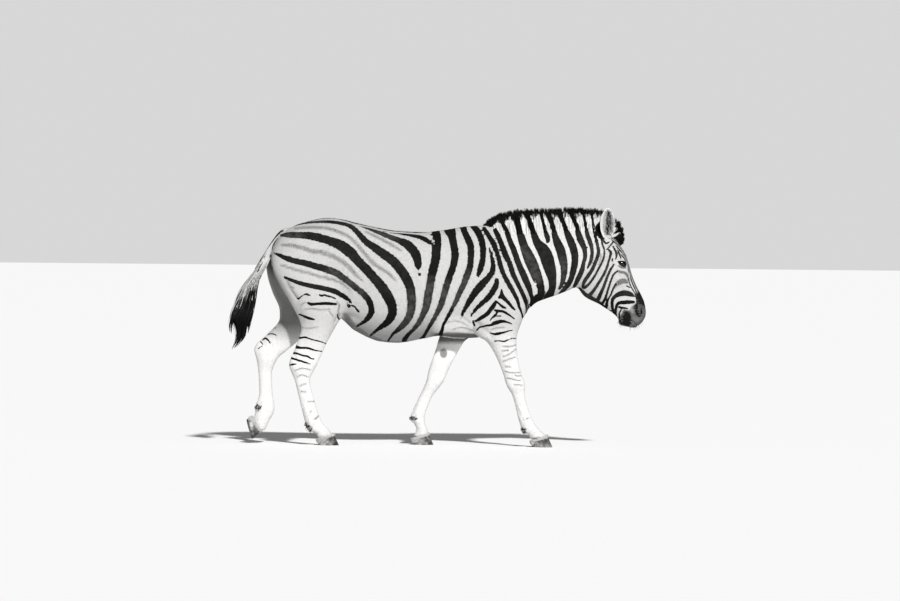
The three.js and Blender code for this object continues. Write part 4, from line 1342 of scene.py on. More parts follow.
def lids(own):
    along, across, flat = eye_chart(own)
    radius = np.hypot(along, across)
    level = lid_level(along, across)
    ball = np.sqrt(np.clip(EYE_RADIUS**2 - radius**2, 0, None))
    lid = np.sqrt(np.clip((EYE_RADIUS + LID_OVER_BALL) ** 2 - radius**2, 0, None)) + 0.6
    rim = 1.4 * bell(level, 1.12, 0.14)
    fold = -2.2 * bell(level, 1.75, 0.16) * ramp(across, -2, 8)
    fold += 1.6 * bell(level, 2.15, 0.25) * ramp(across, -2, 8)
    bag = -1.4 * bell(level, 1.9, 0.2) * ramp(-across, 0, 8)
    over = np.where(level < 1, np.maximum(ball - 5.0, flat - 6.0), np.maximum(lid, flat - 1.5) + rim)
    share = 1 - ramp(level, 1.25, 2.3)
    share = share * share * (3 - 2 * share)
    wanted = flat + share * (over - flat) + fold + bag
    near = (radius < 75) & (flat > -40)
    return np.where(near, wanted - flat, 0)


def nostrils(own):
    """How far the nostrils push the skin, and a level that is 1 on their rim."""
    moved = from_place(own, NOSTRIL_AT)
    along, across = turn_pair(moved[:, 0], moved[:, 2], NOSTRIL_TILT)
    across = across - 0.012 * along**2
    level = np.hypot(along / NOSTRIL_OPEN[0], across / NOSTRIL_OPEN[1])
    push = -13.0 * (1 - ramp(level, 0.45, 1.05)) + 3.4 * bell(level, 1.5, 0.42)
    return np.where(np.abs(own[:, 1]) > 18, push, 0), level


def lips(own, gap):
    """A groove between the lips, and a swell over and under it."""
    open_from = ramp(own[:, 0], 338, 372)
    groove = -3.4 * bell(gap, 0, 2.6) * open_from
    return groove + (1.8 * bell(gap, 9, 7) * open_from + 2.2 * bell(gap, -11, 8) * open_from)


face_index = np.flatnonzero((to_head(skin_points)[:, 0] > 20) & (skin_points[:, 0] > FACE_FROM))
face_own = to_head(skin_points)[face_index]
lip_gap = face_own[:, 2] - np.interp(face_own[:, 0], *MOUTH_LINE)
nostril_push, nostril_level = nostrils(face_own)
pushed = face_own.copy()
pushed[:, 1] += np.sign(face_own[:, 1]) * lids(face_own)
lifted = skin_points.copy()
push = nostril_push + lips(face_own, lip_gap)
lifted[face_index] = from_head(pushed) + skin_normals[face_index] * push[:, None]
print("furthest push", round(float(np.abs(lifted - skin_points).max()), 1), "mm")

# %% Dark rims of the lids, the nostrils and the lips
dark = skin_marks["muzzle"].copy()
rim_level = lid_level(*eye_chart(face_own)[:2])
beside = np.abs(face_own[:, 1]) > 40
crease = bell(lip_gap, 0, 2.4) * ramp(face_own[:, 0], 345, 375)
# The lid rims are dark skin. The dark inside the nostrils is dark skin with painted shade of their hollows.
for rim_dark in (
    (1 - ramp(rim_level, 1.18, 1.34)) * beside,
    1 - ramp(nostril_level, 0.9, 1.25),
    0.9 * crease,
):
    dark[face_index] = np.maximum(dark[face_index], rim_dark)
store(skin_mesh, "muzzle", dark)
print("dark rims", int((dark > 0.5).sum()), "corners")

# %% [markdown]
# The long forms are drawn on the same side chart as the stripes: each is a line with a reach and a height
# in millimetres, less than nothing for a groove.

# %% Tendons, grooves and folds
RELIEF = {
    "cannon_tendon": (-3.0, "292 392 1.2, 294 402 1.2, 297 412 1.2, 300 420 1"),
    "cannon_bone": (1.5, "300 386 2.5, 303 400 2.5, 306 414 2"),
    "hamstring": (-6.0, "288 337 3, 290 345 2.5, 293 352 2, 295 358 1.5"),
    "hock_hollow": (-4.0, "300 356 2, 303 361 2, 306 366 1.5"),
    "hock_point": (3.0, "292 361 2.5, 294 366 3, 296 371 2.5"),
    "gaskin_line": (-3.5, "309 322 4, 306 332 3.5, 304 342 3, 303 350 2"),
    "thigh_line": (-4.5, "296 300 4, 299 312 4, 302 322 4"),
    "stifle_fold": (-5.0, "345 296 5, 342 306 4, 339 316 3, 337 324 2"),
    "flank_fold": (-6.0, "336 322 3, 341 318 3, 348 316 3, 356 318 3"),
    "flank_edge": (5.0, "340 326 4, 348 323 4, 357 325 4"),
    "elbow_crease": (-6.0, "476 322 3, 482 328 3, 488 333 2.5, 492 338 2"),
    "elbow": (4.0, "483 322 5, 487 326 5"),
    "triceps_line": (-4.0, "487 292 6, 489 304 5, 492 314 4, 495 321 3"),
    "shoulder_edge": (-3.5, "497 262 6, 505 276 6, 513 290 5, 519 303 5"),
    "arm_line": (-3.0, "503 328 2.5, 505 340 2.5, 507 352 2, 508 362 1.5"),
    "knee_top": (2.5, "508 372 3, 514 373 3"),
    "fore_tendon": (-3.0, "511 394 1.2, 515 404 1.2, 520 414 1, 524 421 1"),
    "jugular": (-4.0, "592 303 4, 580 303 4, 566 303 4, 552 306 4, 541 311 4"),
    "neck_base": (-4.0, "516 262 8, 524 278 7, 531 292 6, 536 304 5"),
    "throat": (-4.0, "598 262 4, 594 274 4, 590 286 4, 590 296 3"),
    "jaw_edge": (2.5, "603 272 3, 598 284 3, 596 294 3"),
    "cheek_crest": (2.4, "622 274 2, 625 281 2, 627.5 288 1.8"),
    "under_crest": (-2.2, "618 276 2.2, 621 283 2.2, 623.5 290 2"),
    "nose_side": (-2.4, "628 277 1.8, 631 284 1.8, 633.5 291 1.8"),
    "lip_corner": (-2.4, "619 307 1.4, 617 311 1.4, 616.5 315 1.2"),
    "rib_a": (-1.6, "428 262 5, 424 284 5, 420 304 5"),
    "rib_b": (-1.6, "444 262 5, 440 284 5, 436 304 5"),
    "rib_c": (-1.6, "412 262 5, 407 284 5, 402 304 5"),
    "ham_groove": (-5.0, "285.5 279 2, 289 286 2, 293 293 2, 297 299 1.6"),
    "hip_hollow": (-4.0, "352 246 9, 358 258 8, 362 270 7"),
}
FAR_HAM_SWELL = 15.0  # millimetres that the left thigh reaches further to the rear


def relief(chart):
    height = np.zeros(len(chart))
    for size, text in RELIEF.values():
        line = stroke_of(text)
        near = near_line(line, chart, 3 * line[:, 2].max())
        best = np.full(len(near), CHART_REACH)
        for gap, reach in along_line(line, chart[near]):
            best = np.minimum(best, gap / reach)
        height[near] += size * np.exp(-(best**2))
    return height


def side_on(normals):
    return ramp(np.abs(normals[:, 1]), 0.25, 0.6)


outer_chart, _, leg_out = skin_charts
pushes = relief(outer_chart) * side_on(skin_normals)
lifted += skin_normals * pushes[:, None]
ham = ramp(lifted[:, 2], 800, 900) * (1 - ramp(lifted[:, 2], 1060, 1130))
ham *= ramp(-skin_normals[:, 0], 0.2, 0.7)
lifted[:, 0] -= FAR_HAM_SWELL * ham * is_part(skin_part, "hind_left")
skin_points = lifted
write_points(skin_mesh, skin_points)
skin_normals = read_normals(skin_mesh)
print("relief", round(float(pushes.min()), 1), "to", round(float(pushes.max()), 1), "mm")

# %% [markdown]
# ## The lie of the coat
# Hair on the body points to the rear and the ground, on the legs straight down, and on the face towards the
# nose. Each corner gets a direction along the surface, evened out over its neighbours. The tufts follow it.

# %% Direction of the hair
LIE = {
    "trunk": (-1.0, 0.0, -0.45),
    "neck": (-0.62, 0.0, -0.8),
    "head": (0.5, 0.0, -0.86),
    "dock": (-0.35, 0.0, -0.94),
    "hind_right": (-0.25, 0.0, -1.0),
    "hind_left": (-0.25, 0.0, -1.0),
    "fore_right": (-0.12, 0.0, -1.0),
    "fore_left": (-0.12, 0.0, -1.0),
}
LIE_ROUNDS = 14  # rounds of evening out
skin_edges = read_edges(skin_mesh)
lie = np.array([LIE[name] for name in PART_NAMES])[skin_part]
nose_ward = np.array([math.cos(HEAD_PITCH), 0, -math.sin(HEAD_PITCH)])
own_place = to_head(skin_points)
face_share = ramp(own_place[:, 2], 20, 110) * is_part(skin_part, "head")
lie += face_share[:, None] * (nose_ward - lie)
lie = even_out(lie, skin_edges, LIE_ROUNDS)
lie -= skin_normals * (lie * skin_normals).sum(1)[:, None]
lie = unit(lie)
store(skin_mesh, "lie", lie)
print("lie", np.round(lie.mean(0), 2))

# %% [markdown]
# Tone darkens the thin or soiled coat over the pasterns, and the legs are brighter. It also carries painted
# shade and light: painted shade on the inner faces of the legs, under the chest and between the dock and
# the rump, dark skin with painted shade under the tail, and a painted shadow of the belly on the forelegs,
# with painted light under it on the left one. Between the front of the belly and the breast the coat is
# painted bright, as painted light.

# %% Tone of the coat
PART_TONE = dict(trunk=0.64, neck=0.8, head=0.7, dock=0.75)
PART_TONE |= dict(hind_right=0.67, hind_left=0.67, fore_right=0.66, fore_left=0.66)
LEG_TONE = 0.92
GIRTH_PAINTED_LIGHT = 1.1
CHESTNUTS = dict(fore_left=(16, 552), fore_right=(400, 545))  # bare spots inside the forelegs: along, up
CHESTNUT_REACH = (26, 32)
CHESTNUT_DARK = 0.72
# How much of its brightness each place loses.
PASTERN_LOSS, INNER_LEG_PAINTED_SHADE, BELLY_LOSS = 0.10, 0.5, 0.28
CHEST_PAINTED_SHADE, UNDER_TAIL_SKIN_AND_SHADE, DOCK_PAINTED_SHADE = 0.84, 0.6, 0.8
along, height = skin_points[:, 0], skin_points[:, 2]
is_leg = np.any([is_part(skin_part, name) for name in LEG_SIDES], axis=0)
on_left_fore = is_part(skin_part, "fore_left")
tone = np.array([PART_TONE[name] for name in PART_NAMES])[skin_part]
# The legs are brighter, and duller again over the hooves.
tone += (LEG_TONE - tone) * ramp(740 - height, 0, 140) * is_leg
tone -= PASTERN_LOSS * ramp(130 - height, 0, 80) * is_leg
tone = even_out(tone[:, None], skin_edges, LIE_ROUNDS)[:, 0]
# The inner faces of the legs get painted shade.
tone *= 1 - INNER_LEG_PAINTED_SHADE * ramp(-leg_out, 0.0, 0.5) * ramp(height, 620, 720) * is_leg
# Painted shadow of the belly on the inner forelegs, and painted light on the left foreleg below it.
inner_fore = ramp(-leg_out, 0.0, 0.4) * (along > -100) * is_leg
painted_belly_shadow = np.where(on_left_fore, 0.78, 0.4) * inner_fore
tone *= 1 - painted_belly_shadow * ramp(height, 608, np.where(on_left_fore, 630, 720))
tone += 0.3 * inner_fore * ramp(612 - height, 0, 12) * ramp(height, 480, 540) * on_left_fore
# The belly grows duller towards its bottom behind the girth. Under the girth it is painted bright, as painted
# light on skin that faces down.
girth = ramp(along, -60, 20) * (~is_leg)
tone *= 1 - BELLY_LOSS * ramp(800 - height, 0, 120) * (~is_leg) * (1 - girth)
tone += (GIRTH_PAINTED_LIGHT - tone) * girth * ramp(800 - height, 0, 90)
# Painted shade lies under the chest and between the dock and the rump. Under the tail lie dark skin and
# painted shade.
painted_shade_under_chest = ramp(along, -70, -30) * ramp(682 - height, 0, 12) * (along < 260)
tone *= 1 - CHEST_PAINTED_SHADE * painted_shade_under_chest * (~is_leg) * ramp(70 - skin_points[:, 1], 0, 60)
skin_and_shade_under_tail = ramp(-1000 - along, 0, 40) * ramp(height, 900, 1000) * (np.abs(skin_points[:, 1]) < 55)
tone *= 1 - UNDER_TAIL_SKIN_AND_SHADE * skin_and_shade_under_tail * (skin_normals[:, 0] < -0.3) * (1 - ramp(height, 1120, 1160))
painted_shade_by_dock = ramp(-940 - along, 0, 40) * ramp(height, 1000, 1090) * (1 - ramp(height, 1125, 1150))
faces_in = ramp(-np.sign(skin_points[:, 1]) * skin_normals[:, 1], 0.05, 0.35)
tone *= 1 - DOCK_PAINTED_SHADE * painted_shade_by_dock * faces_in
store(skin_mesh, "tone", tone)
chestnut_share = np.zeros(len(skin_points))
for name, (x, z) in CHESTNUTS.items():
    gap = np.hypot((along - x) / CHESTNUT_REACH[0], (height - z) / CHESTNUT_REACH[1])
    on_inside = is_part(skin_part, name) & (leg_out < -0.2)
    chestnut_share = np.maximum(chestnut_share, (1 - ramp(gap, 0.75, 1.05)) * on_inside)
dark = np.maximum(dark, CHESTNUT_DARK * chestnut_share)
store(skin_mesh, "muzzle", dark)
print("tone", round(float(tone.min()), 2), "to", round(float(tone.max()), 2))

# %% [markdown]
# ## From table to scene
# The skin is done in the tables' millimetres. It now moves to the scene's metres, and gets a flat unwrap of
# its own shape, on which every tuft later finds its place.

# %% The skin object
UNWRAP = "OFBake"  # name of the unwrap
UNWRAP_ANGLE = math.radians(66)
UNWRAP_MARGIN = 0.002
skin_scene_points = to_scene(skin_points)
write_points(skin_mesh, skin_scene_points)
skin_mesh.polygons.foreach_set("use_smooth", np.ones(len(skin_mesh.polygons), bool))
skin = bpy.data.objects.new("skin", skin_mesh)
scene.collection.objects.link(skin)
bpy.context.view_layer.objects.active = skin
skin.select_set(True)
skin_mesh.uv_layers.new(name=UNWRAP)
bpy.ops.object.mode_set(mode="EDIT")
bpy.ops.mesh.select_all(action="SELECT")
bpy.ops.uv.smart_project(angle_limit=UNWRAP_ANGLE, island_margin=UNWRAP_MARGIN)
bpy.ops.object.mode_set(mode="OBJECT")
skin.select_set(False)
corner_uv = read_rows(skin_mesh.uv_layers[UNWRAP].data, "uv", 2)
print("unwrap", corner_uv.min(0).round(2), corner_uv.max(0).round(2))

# %% [markdown]
# ## Finishes
# The coat and the hair are built from the same small effect: fine streaks of noise that run along the hair.
# It is a shader group with named inputs, so that each material sets its scale.

# %% Node helpers
def plug(tree, socket, value):
    """Link a socket to another one, or set it to a plain value."""
    if hasattr(value, "node"):
        tree.links.new(value, socket)
    else:
        socket.default_value = value


def add(tree, kind, inputs=None, **settings):
    """A new node with its settings, and with its inputs plugged by name."""
    node = tree.nodes.new(kind)
    for name, value in settings.items():
        setattr(node, name, value)
    for name, value in (inputs or {}).items():
        plug(tree, node.inputs[name], value)
    return node


def new_group(name, kind, inputs, outputs):
    """A node group whose sockets are given by label, kind and start value."""
    group = bpy.data.node_groups.new(name, kind)
    for side, sockets in (("OUTPUT", outputs), ("INPUT", inputs)):
        for label, socket_kind, start in sockets:
            socket = group.interface.new_socket(label, in_out=side, socket_type="NodeSocket" + socket_kind)
            if start is not None:
                socket.default_value = start
    return group, group.nodes.new("NodeGroupInput").outputs, group.nodes.new("NodeGroupOutput").inputs


def attribute_of(tree, name):
    return add(tree, "ShaderNodeAttribute", attribute_name=name).outputs["Fac"]


def maths(tree, operation, first, second=0.0, clamp=False):
    inputs = {0: first, 1: second}
    return add(tree, "ShaderNodeMath", inputs, operation=operation, use_clamp=clamp).outputs[0]


def blend_colours(tree, share, first, second):
    first, second = [(*v, 1) if isinstance(v, tuple) else v for v in (first, second)]
    return add(tree, "ShaderNodeMix", {0: share, 6: first, 7: second}, data_type="RGBA").outputs[2]


def noise_at(tree, scale, detail, place=None):
    if place is None:
        place = add(tree, "ShaderNodeTexCoord").outputs["Object"]
    inputs = {"Scale": scale, "Detail": detail, "Vector": place}
    return add(tree, "ShaderNodeTexNoise", inputs).outputs["Fac"]


def stretched(tree, value, low, high, **settings):
    inputs = {"Value": value, "From Min": low, "From Max": high}
    return add(tree, "ShaderNodeMapRange", inputs, **settings).outputs[0]


def bump_of(tree, height, strength, distance):
    inputs = {"Strength": strength, "Distance": distance, "Height": height}
    return add(tree, "ShaderNodeBump", inputs).outputs[0]


def finish_of(name, inputs_of):
    """A material whose shader inputs are worked out in its own tree."""
    material = bpy.data.materials.new(name)
    material.use_nodes = True
    shader = material.node_tree.nodes["Principled BSDF"]
    for label, value in inputs_of(material.node_tree).items():
        plug(material.node_tree, shader.inputs[label], value)
    return material


print("helpers for nodes are ready")

# %% Streaks of hair as a shader group
def streaks_group():
    inputs = [("Fineness", "Float", 300.0), ("Length", "Float", 6.0), ("Down Share", "Float", None)]
    group, start, end = new_group("hair_streaks", "ShaderNodeTree", inputs, [("Streaks", "Float", None)])
    place = add(group, "ShaderNodeTexCoord").outputs["Object"]
    fineness = start["Fineness"]
    long = maths(group, "DIVIDE", fineness, start["Length"])
    found = []
    for axis in (0, 2):
        scales = {k: long if k == axis else fineness for k in range(3)}
        scale = add(group, "ShaderNodeCombineXYZ", scales).outputs[0]
        scaled = add(group, "ShaderNodeVectorMath", {0: place, 1: scale}, operation="MULTIPLY").outputs[0]
        found.append(noise_at(group, 1.0, 2.0, scaled))
    both = {0: start["Down Share"], 2: found[0], 3: found[1]}
    mixed = add(group, "ShaderNodeMix", both, data_type="FLOAT")
    plug(group, end["Streaks"], mixed.outputs[0])
    return group


STREAKS = streaks_group()
print("group", STREAKS.name)

# %% [markdown]
# The coat turns the kept distance into black and white. Its edge is moved to and fro by the streaks, so
# that it looks like hair and not like a cut. The tone, with soil and painted shade and light, and the shadow
# stripes and painted shade strokes dull the white. Painted sheen and wear lift the black to grey, and bare
# skin lies over all.

# %% Colours of the hair
WHITE_HAIR = (0.71, 0.705, 0.7)
DULL_WHITE = (0.5, 0.495, 0.49)
BLACK_HAIR = (0.004, 0.004, 0.0039)
WORN_BLACK = (0.007, 0.0069, 0.0068)
# The grey to which painted sheen and wear lift the black.
SHEEN_AND_WEAR_BLACK = (0.06, 0.059, 0.058)
# The grey of the shadow stripes, which also serves the painted shade.
SHADOW_HAIR = (0.11, 0.108, 0.106)
BARE_SKIN = (0.009, 0.0089, 0.0088)
EDGE_BLUR = 0.0009  # metres on each side of a stripe's edge
EDGE_WANDER = 0.010
PATCH_WANDER = 0.014
FINE_LEGS = 0.4  # share of the wander that is left where the stripes are thin


print("colours", WHITE_HAIR, BLACK_HAIR)


# %% Marked coat as a shader group
def marked_group():
    wanders = [("Edge Wander", "Float", EDGE_WANDER), ("Patch Wander", "Float", PATCH_WANDER)]
    inputs = [("Grain", "Float", 0.5), *wanders]
    group, start, end = new_group("marked_coat", "ShaderNodeTree", inputs, [("Colour", "Color", None)])

    def sum_of(first, second, **settings):
        return maths(group, "ADD", first, second, **settings)

    def product(first, second, **settings):
        return maths(group, "MULTIPLY", first, second, **settings)

    def less(first, second):
        return maths(group, "SUBTRACT", first, second)

    def cloud(scale, detail, low, high):
        return stretched(group, noise_at(group, scale, detail), low, high)

    def mark(name):
        return attribute_of(group, name)

    grain = start["Grain"]
    mottle = cloud(130.0, 3.0, 0.36, 0.64)
    fine = product(less(grain, 0.5), start["Edge Wander"])
    broad = product(less(noise_at(group, 70.0, 3.0), 0.5), start["Patch Wander"])
    steady = less(1.0, product(mark("down"), 1 - FINE_LEGS))
    moved = sum_of(mark("stripe"), product(sum_of(fine, broad), steady))
    is_black = stretched(group, moved, EDGE_BLUR, -EDGE_BLUR, interpolation_type="SMOOTHSTEP")
    white = blend_colours(group, product(sum_of(grain, mottle), 0.42), WHITE_HAIR, DULL_WHITE)
    black = blend_colours(group, mottle, BLACK_HAIR, WORN_BLACK)
    # Inside the black, the shadow mark stands for painted sheen and worn hair, which lift the black to grey.
    worn = product(mark("shadow"), sum_of(cloud(34.0, 4.0, 0.33, 0.6), 0.35))
    sheen_and_wear_lift = sum_of(product(cloud(13.0, 3.0, 0.42, 0.72), 0.06), worn, clamp=True)
    black = blend_colours(group, sheen_and_wear_lift, black, SHEEN_AND_WEAR_BLACK)
    toning = {0: white, "Scale": mark("tone")}
    toned = add(group, "ShaderNodeVectorMath", toning, operation="SCALE").outputs[0]
    shadow = product(mark("shadow"), sum_of(cloud(230.0, 2.0, 0.34, 0.66), 0.5), clamp=True)
    shaded = blend_colours(group, shadow, toned, SHADOW_HAIR)
    striped = blend_colours(group, is_black, shaded, black)
    plug(group, end["Colour"], blend_colours(group, mark("muzzle"), striped, BARE_SKIN))
    return group


MARKED = marked_group()
print("group", MARKED.name)

# %% Coat
STREAK_FINENESS, STREAK_LENGTH = 420.0, 7.0


def coat_material(name, roughness, bump_height):
    def inputs_of(tree):
        inputs = {"Fineness": STREAK_FINENESS, "Length": STREAK_LENGTH}
        inputs["Down Share"] = attribute_of(tree, "down")
        fine = add(tree, "ShaderNodeGroup", inputs, node_tree=STREAKS).outputs[0]
        colour = add(tree, "ShaderNodeGroup", {"Grain": fine}, node_tree=MARKED).outputs["Colour"]
        normal = bump_of(tree, fine, 0.7, bump_height)
        return {"Base Color": colour, "Roughness": roughness, "Specular IOR Level": 0.01, "Normal": normal}

    return finish_of(name, inputs_of)


COAT = coat_material("short_coat", 0.62, 0.0022)
TUFT_COAT = coat_material("coat_tufts", 0.55, 0.0008)
MANE_HAIR = coat_material("mane_hair", 0.5, 0.0010)
print("coat", COAT.name)

# %% Horn and eye
PALE_HORN, GREY_HORN, DARK_HORN = (0.42, 0.415, 0.41), (0.13, 0.128, 0.125), (0.02, 0.0195, 0.019)
PUPIL, IRIS = (0.003, 0.003, 0.003), (0.007, 0.0067, 0.0064)


def horn_inputs(tree):
    growth = maths(tree, "SINE", maths(tree, "MULTIPLY", attribute_of(tree, "level"), 46.0))
    uneven = maths(tree, "ADD", noise_at(tree, 38.0, 4.0), maths(tree, "MULTIPLY", growth, 0.08))
    worn = blend_colours(tree, stretched(tree, uneven, 0.4, 0.62), PALE_HORN, GREY_HORN)
    wander = maths(tree, "SUBTRACT", uneven, 0.5)
    share = maths(tree, "ADD", attribute_of(tree, "shade"), wander, clamp=True)
    colour = blend_colours(tree, share, worn, DARK_HORN)
    normal = bump_of(tree, uneven, 0.5, 0.0012)
    return {"Base Color": colour, "Roughness": 0.55, "Specular IOR Level": 0.2, "Normal": normal}


def eye_inputs(tree):
    colour = blend_colours(tree, attribute_of(tree, "iris"), PUPIL, IRIS)
    gloss = {"Roughness": 0.08, "Specular IOR Level": 0.25, "Coat Weight": 0.25, "Coat Roughness": 0.03}
    return {"Base Color": colour, **gloss}


HORN = finish_of("hoof_horn", horn_inputs)
EYE_GLOSS = finish_of("eye_gloss", eye_inputs)
print("finishes", [material.name for material in bpy.data.materials])

# %% [markdown]
# ## Eyes
# Each eye is a glossy ball in its socket, with a brown iris and the level pupil of an animal that grazes.

# %% Eyeballs
def mesh_object(name, points, faces, material, smooth=True):
    mesh = bpy.data.meshes.new(name)
    mesh.from_pydata(np.asarray(points).tolist(), [], [list(map(int, face)) for face in faces])
    mesh.materials.append(material)
    mesh.polygons.foreach_set("use_smooth", np.full(len(mesh.polygons), smooth))
    made = bpy.data.objects.new(name, mesh)
    scene.collection.objects.link(made)
    return made


def tube_faces(rings, sides, flip=False):
    """Faces between rings of points, with a lid on both ends."""
    faces = []
    for i in range(rings - 1):
        for j in range(sides):
            a, b = i * sides + j, i * sides + (j + 1) % sides
            faces.append((a, b, b + sides, a + sides))
    faces.append(tuple(range(sides))[::-1])
    faces.append(tuple(range((rings - 1) * sides, rings * sides)))
    return [face[::-1] for face in faces] if flip else faces


EYE_RINGS, EYE_SIDES = 24, 40
CORNEA_BULGE, CORNEA_REACH = 1.2, 0.55
PUPIL_REACH = (0.42, 0.2)


def on_side(place, side):
    """A place that is drawn on the left, moved to one of the sides."""
    return place * np.array([1, side, 1])


def eyeball(side):
    polar = np.linspace(0.02, math.pi - 0.02, EYE_RINGS)
    turn = np.linspace(0, 2 * math.pi, EYE_SIDES, endpoint=False)
    p, t = [v.ravel() for v in np.meshgrid(polar, turn, indexing="ij")]
    bulge = EYE_RADIUS + CORNEA_BULGE * bell(p, 0, CORNEA_REACH)
    across, up = np.sin(p) * np.cos(t), np.sin(p) * np.sin(t)
    own = np.column_stack([across, side * np.cos(p), up]) * bulge[:, None]
    points = to_scene(from_head(own + on_side(EYE_AT, side)))
    name = "eyeball_right" if side == RIGHT else "eyeball_left"
    made = mesh_object(name, points, tube_faces(EYE_RINGS, EYE_SIDES, flip=side == RIGHT), EYE_GLOSS)
    level_pupil = np.hypot(across / PUPIL_REACH[0], up / PUPIL_REACH[1])
    store(made.data, "iris", ramp(level_pupil, 0.9, 1.1) * (1 - ramp(p, 0.62, 0.72)))
    return made


eyes = [eyeball(side) for side in (RIGHT, LEFT)]
print("eyes", [len(eye.data.polygons) for eye in eyes])

# %% [markdown]
# ## Ears
# An ear is a thin cup that opens to the side. Its rings run round the back, over the rim and back inside, so
# that the wall is solid. It is joined to the skin, because it is the same hide.

# %% Ears
EAR_LENGTH, EAR_HALF, EAR_DEPTH, EAR_WALL = 187.0, 46.0, 44.0, 6.0
EAR_FOOT = np.array([990.0, 58.0, 1252.0])
EAR_LEAN, EAR_TURN = math.radians(13), math.radians(8)
EAR_STEPS, EAR_ARC = 34, 22
EAR_BANDS = ((0.2, 0.2), (0.72, 0.11))  # the dark bands on the back: middle and half width
EAR_DARK_SHIFT = 0.34  # how far the dark of the hollow lies off its middle
# Half width of that dark, from the ear's root at 0 to its tip at 1.
EAR_DARK_REACH = ((0, 0.2, 0.5, 0.62, 0.88, 1), (0.3, 0.6, 0.52, 0.43, 0.3, 0.05))


def ear_points(side):
    t = np.linspace(0, 1, EAR_STEPS)
    swell = np.sin(np.pi * (0.05 + 0.95 * t)).clip(0, 1) ** 0.52
    half = np.maximum(2.0, EAR_HALF * swell * (1 - 0.1 * t))
    deep = np.maximum(2.5, EAR_DEPTH * (1 - 0.6 * t) * swell)
    thin = np.minimum(EAR_WALL, half * 0.5)
    angle = np.linspace(0, np.pi, EAR_ARC)
    rings, kinds = [], []
    curl = 1 - 0.16 * np.sin(angle) ** 2
    for i in range(EAR_STEPS):
        back = np.column_stack([half[i] * np.cos(angle), deep[i] * np.sin(angle) ** 0.85])
        front_half = (half[i] - thin[i] * 0.7) * np.cos(angle) * curl**0.3
        inside = np.column_stack([front_half, (deep[i] - thin[i]) * np.sin(angle) ** 0.9 - 1.2])[::-1]
        level = np.full(2 * EAR_ARC, t[i])
        rings.append(np.column_stack([np.vstack([back, inside]), level * EAR_LENGTH]))
        kinds.append(np.column_stack([np.repeat([0, 1], EAR_ARC), np.r_[angle, angle[::-1]], level]))
    points = np.vstack(rings)
    x, y = turn_pair(points[:, 0], points[:, 1], -EAR_TURN)
    y, z = turn_pair(y, points[:, 2], -EAR_LEAN)
    placed = np.column_stack([x, -side * y if side > 0 else y, z])
    return placed + on_side(EAR_FOOT, side), np.vstack(kinds)


def ear_marks(kind):
    inner, angle, t = kind.T
    rim = np.abs(np.cos(angle))
    back = np.minimum(*[np.abs(t - middle) - half for middle, half in EAR_BANDS]) * EAR_LENGTH * MM
    inside = inner > 0.5
    stripe = np.where(inside, ALL_WHITE, back + 0.05 * ramp(rim, 0.8, 0.95))
    # The hollow of the ear gets a painted shade.
    hollow = inside * (1 - ramp(rim, 0.6, 0.85)) * (1 - ramp(t, 0.84, 0.95))
    across = np.cos(angle) - EAR_DARK_SHIFT
    reach = np.interp(t, *EAR_DARK_REACH)
    blotch = np.sin(across * 17 + 3 * np.sin(t * 13)) + np.sin(t * 37 + across * 9)
    streak = 0.4 + 0.6 * ramp(blotch, -0.9, 0.1)
    dark = inside * (1 - ramp(np.abs(across) / reach, 0.6, 1.05)) * streak
    dark *= ramp(t, 0.1, 0.2) * (1 - ramp(t, 0.84, 0.92))
    return {"stripe": stripe, "shadow": 0.14 * hollow, "muzzle": np.clip(0.97 * dark, 0, 1)}


def ear_object(side):
    points, kind = ear_points(side)
    faces = tube_faces(EAR_STEPS, EAR_ARC * 2, flip=side == LEFT)
    made = mesh_object("ear", to_scene(points), faces, COAT)
    bright = np.maximum(ramp(np.abs(np.cos(kind[:, 1])), 0.6, 0.85), kind[:, 0] < 0.5)
    marks = ear_marks(kind)
    marks["tone"] = PART_TONE["head"] + (1 - PART_TONE["head"]) * bright
    marks["lie"] = np.tile([0.0, 0.0, 1.0], (len(points), 1))
    marks["down"] = np.ones(len(points))
    for name, values in marks.items():
        store(made.data, name, values)
    return made


ears = [ear_object(side) for side in (RIGHT, LEFT)]
skin_mesh.materials.append(COAT)
hangs_down = np.where(is_part(skin_part, "trunk"), 0.0, 1.0)
store(skin_mesh, "down", np.clip(even_out(hangs_down[:, None], skin_edges, 10)[:, 0], 0, 1))
print("ears", [len(ear.data.polygons) for ear in ears])

# %% [markdown]
# ## Hooves
# A hoof is a capsule of horn: a slanted wall that widens to the ground, two soft heels behind and a hollow
# sole. It is lofted from rings between the sole and the slanted coronet.

# %% Hooves
HOOF_LENGTH, HOOF_WIDTH = 118.0, 104.0
TOE_HEIGHT, HEEL_HEIGHT = 62.0, 26.0
TOE_SLOPE, HOOF_TAPER = 20.0, 0.86
HOOF_SIDES, HOOF_LAYERS = 48, 12
SOLE = ((0.02, 9.0), (0.3, 8.0), (0.55, 6.5), (0.78, 4.0), (0.9, 0.6), (0.965, 0.0))  # share out, height
LID = ((0.9, 1.5), (0.6, 4.0), (0.05, 6.0))  # share out, depth below the coronet
# Each hoof: where it stands, its pitch in degrees, and from where forward the horn is dark.
HOOF_PLACES = {
    "hoof_hind_right": ((-663, -110, 0), 0, -19),
    "hoof_fore_right": ((614, -106, 0), 0, -52),
    "hoof_fore_left": ((-98, 108, 0), 0, -33),
    "hoof_hind_left": ((-1150, 118, 80), 73, -12),
}


def hoof_outline(angle):
    """The round of a hoof as shares of its half length and half width, and the height of its wall."""
    c, s = np.cos(angle), np.sin(angle)
    height = HEEL_HEIGHT + (TOE_HEIGHT - HEEL_HEIGHT) * (c + 1) / 2
    return np.sign(c) * np.abs(c) ** 0.9, np.sign(s) * np.abs(s) ** 0.86, height


def hoof_frame(points, name):
    """Points of a hoof at its own zero, moved to where the hoof stands."""
    at, pitch, _ = HOOF_PLACES[name]
    return pitched(points, math.radians(pitch)) + np.array(at)


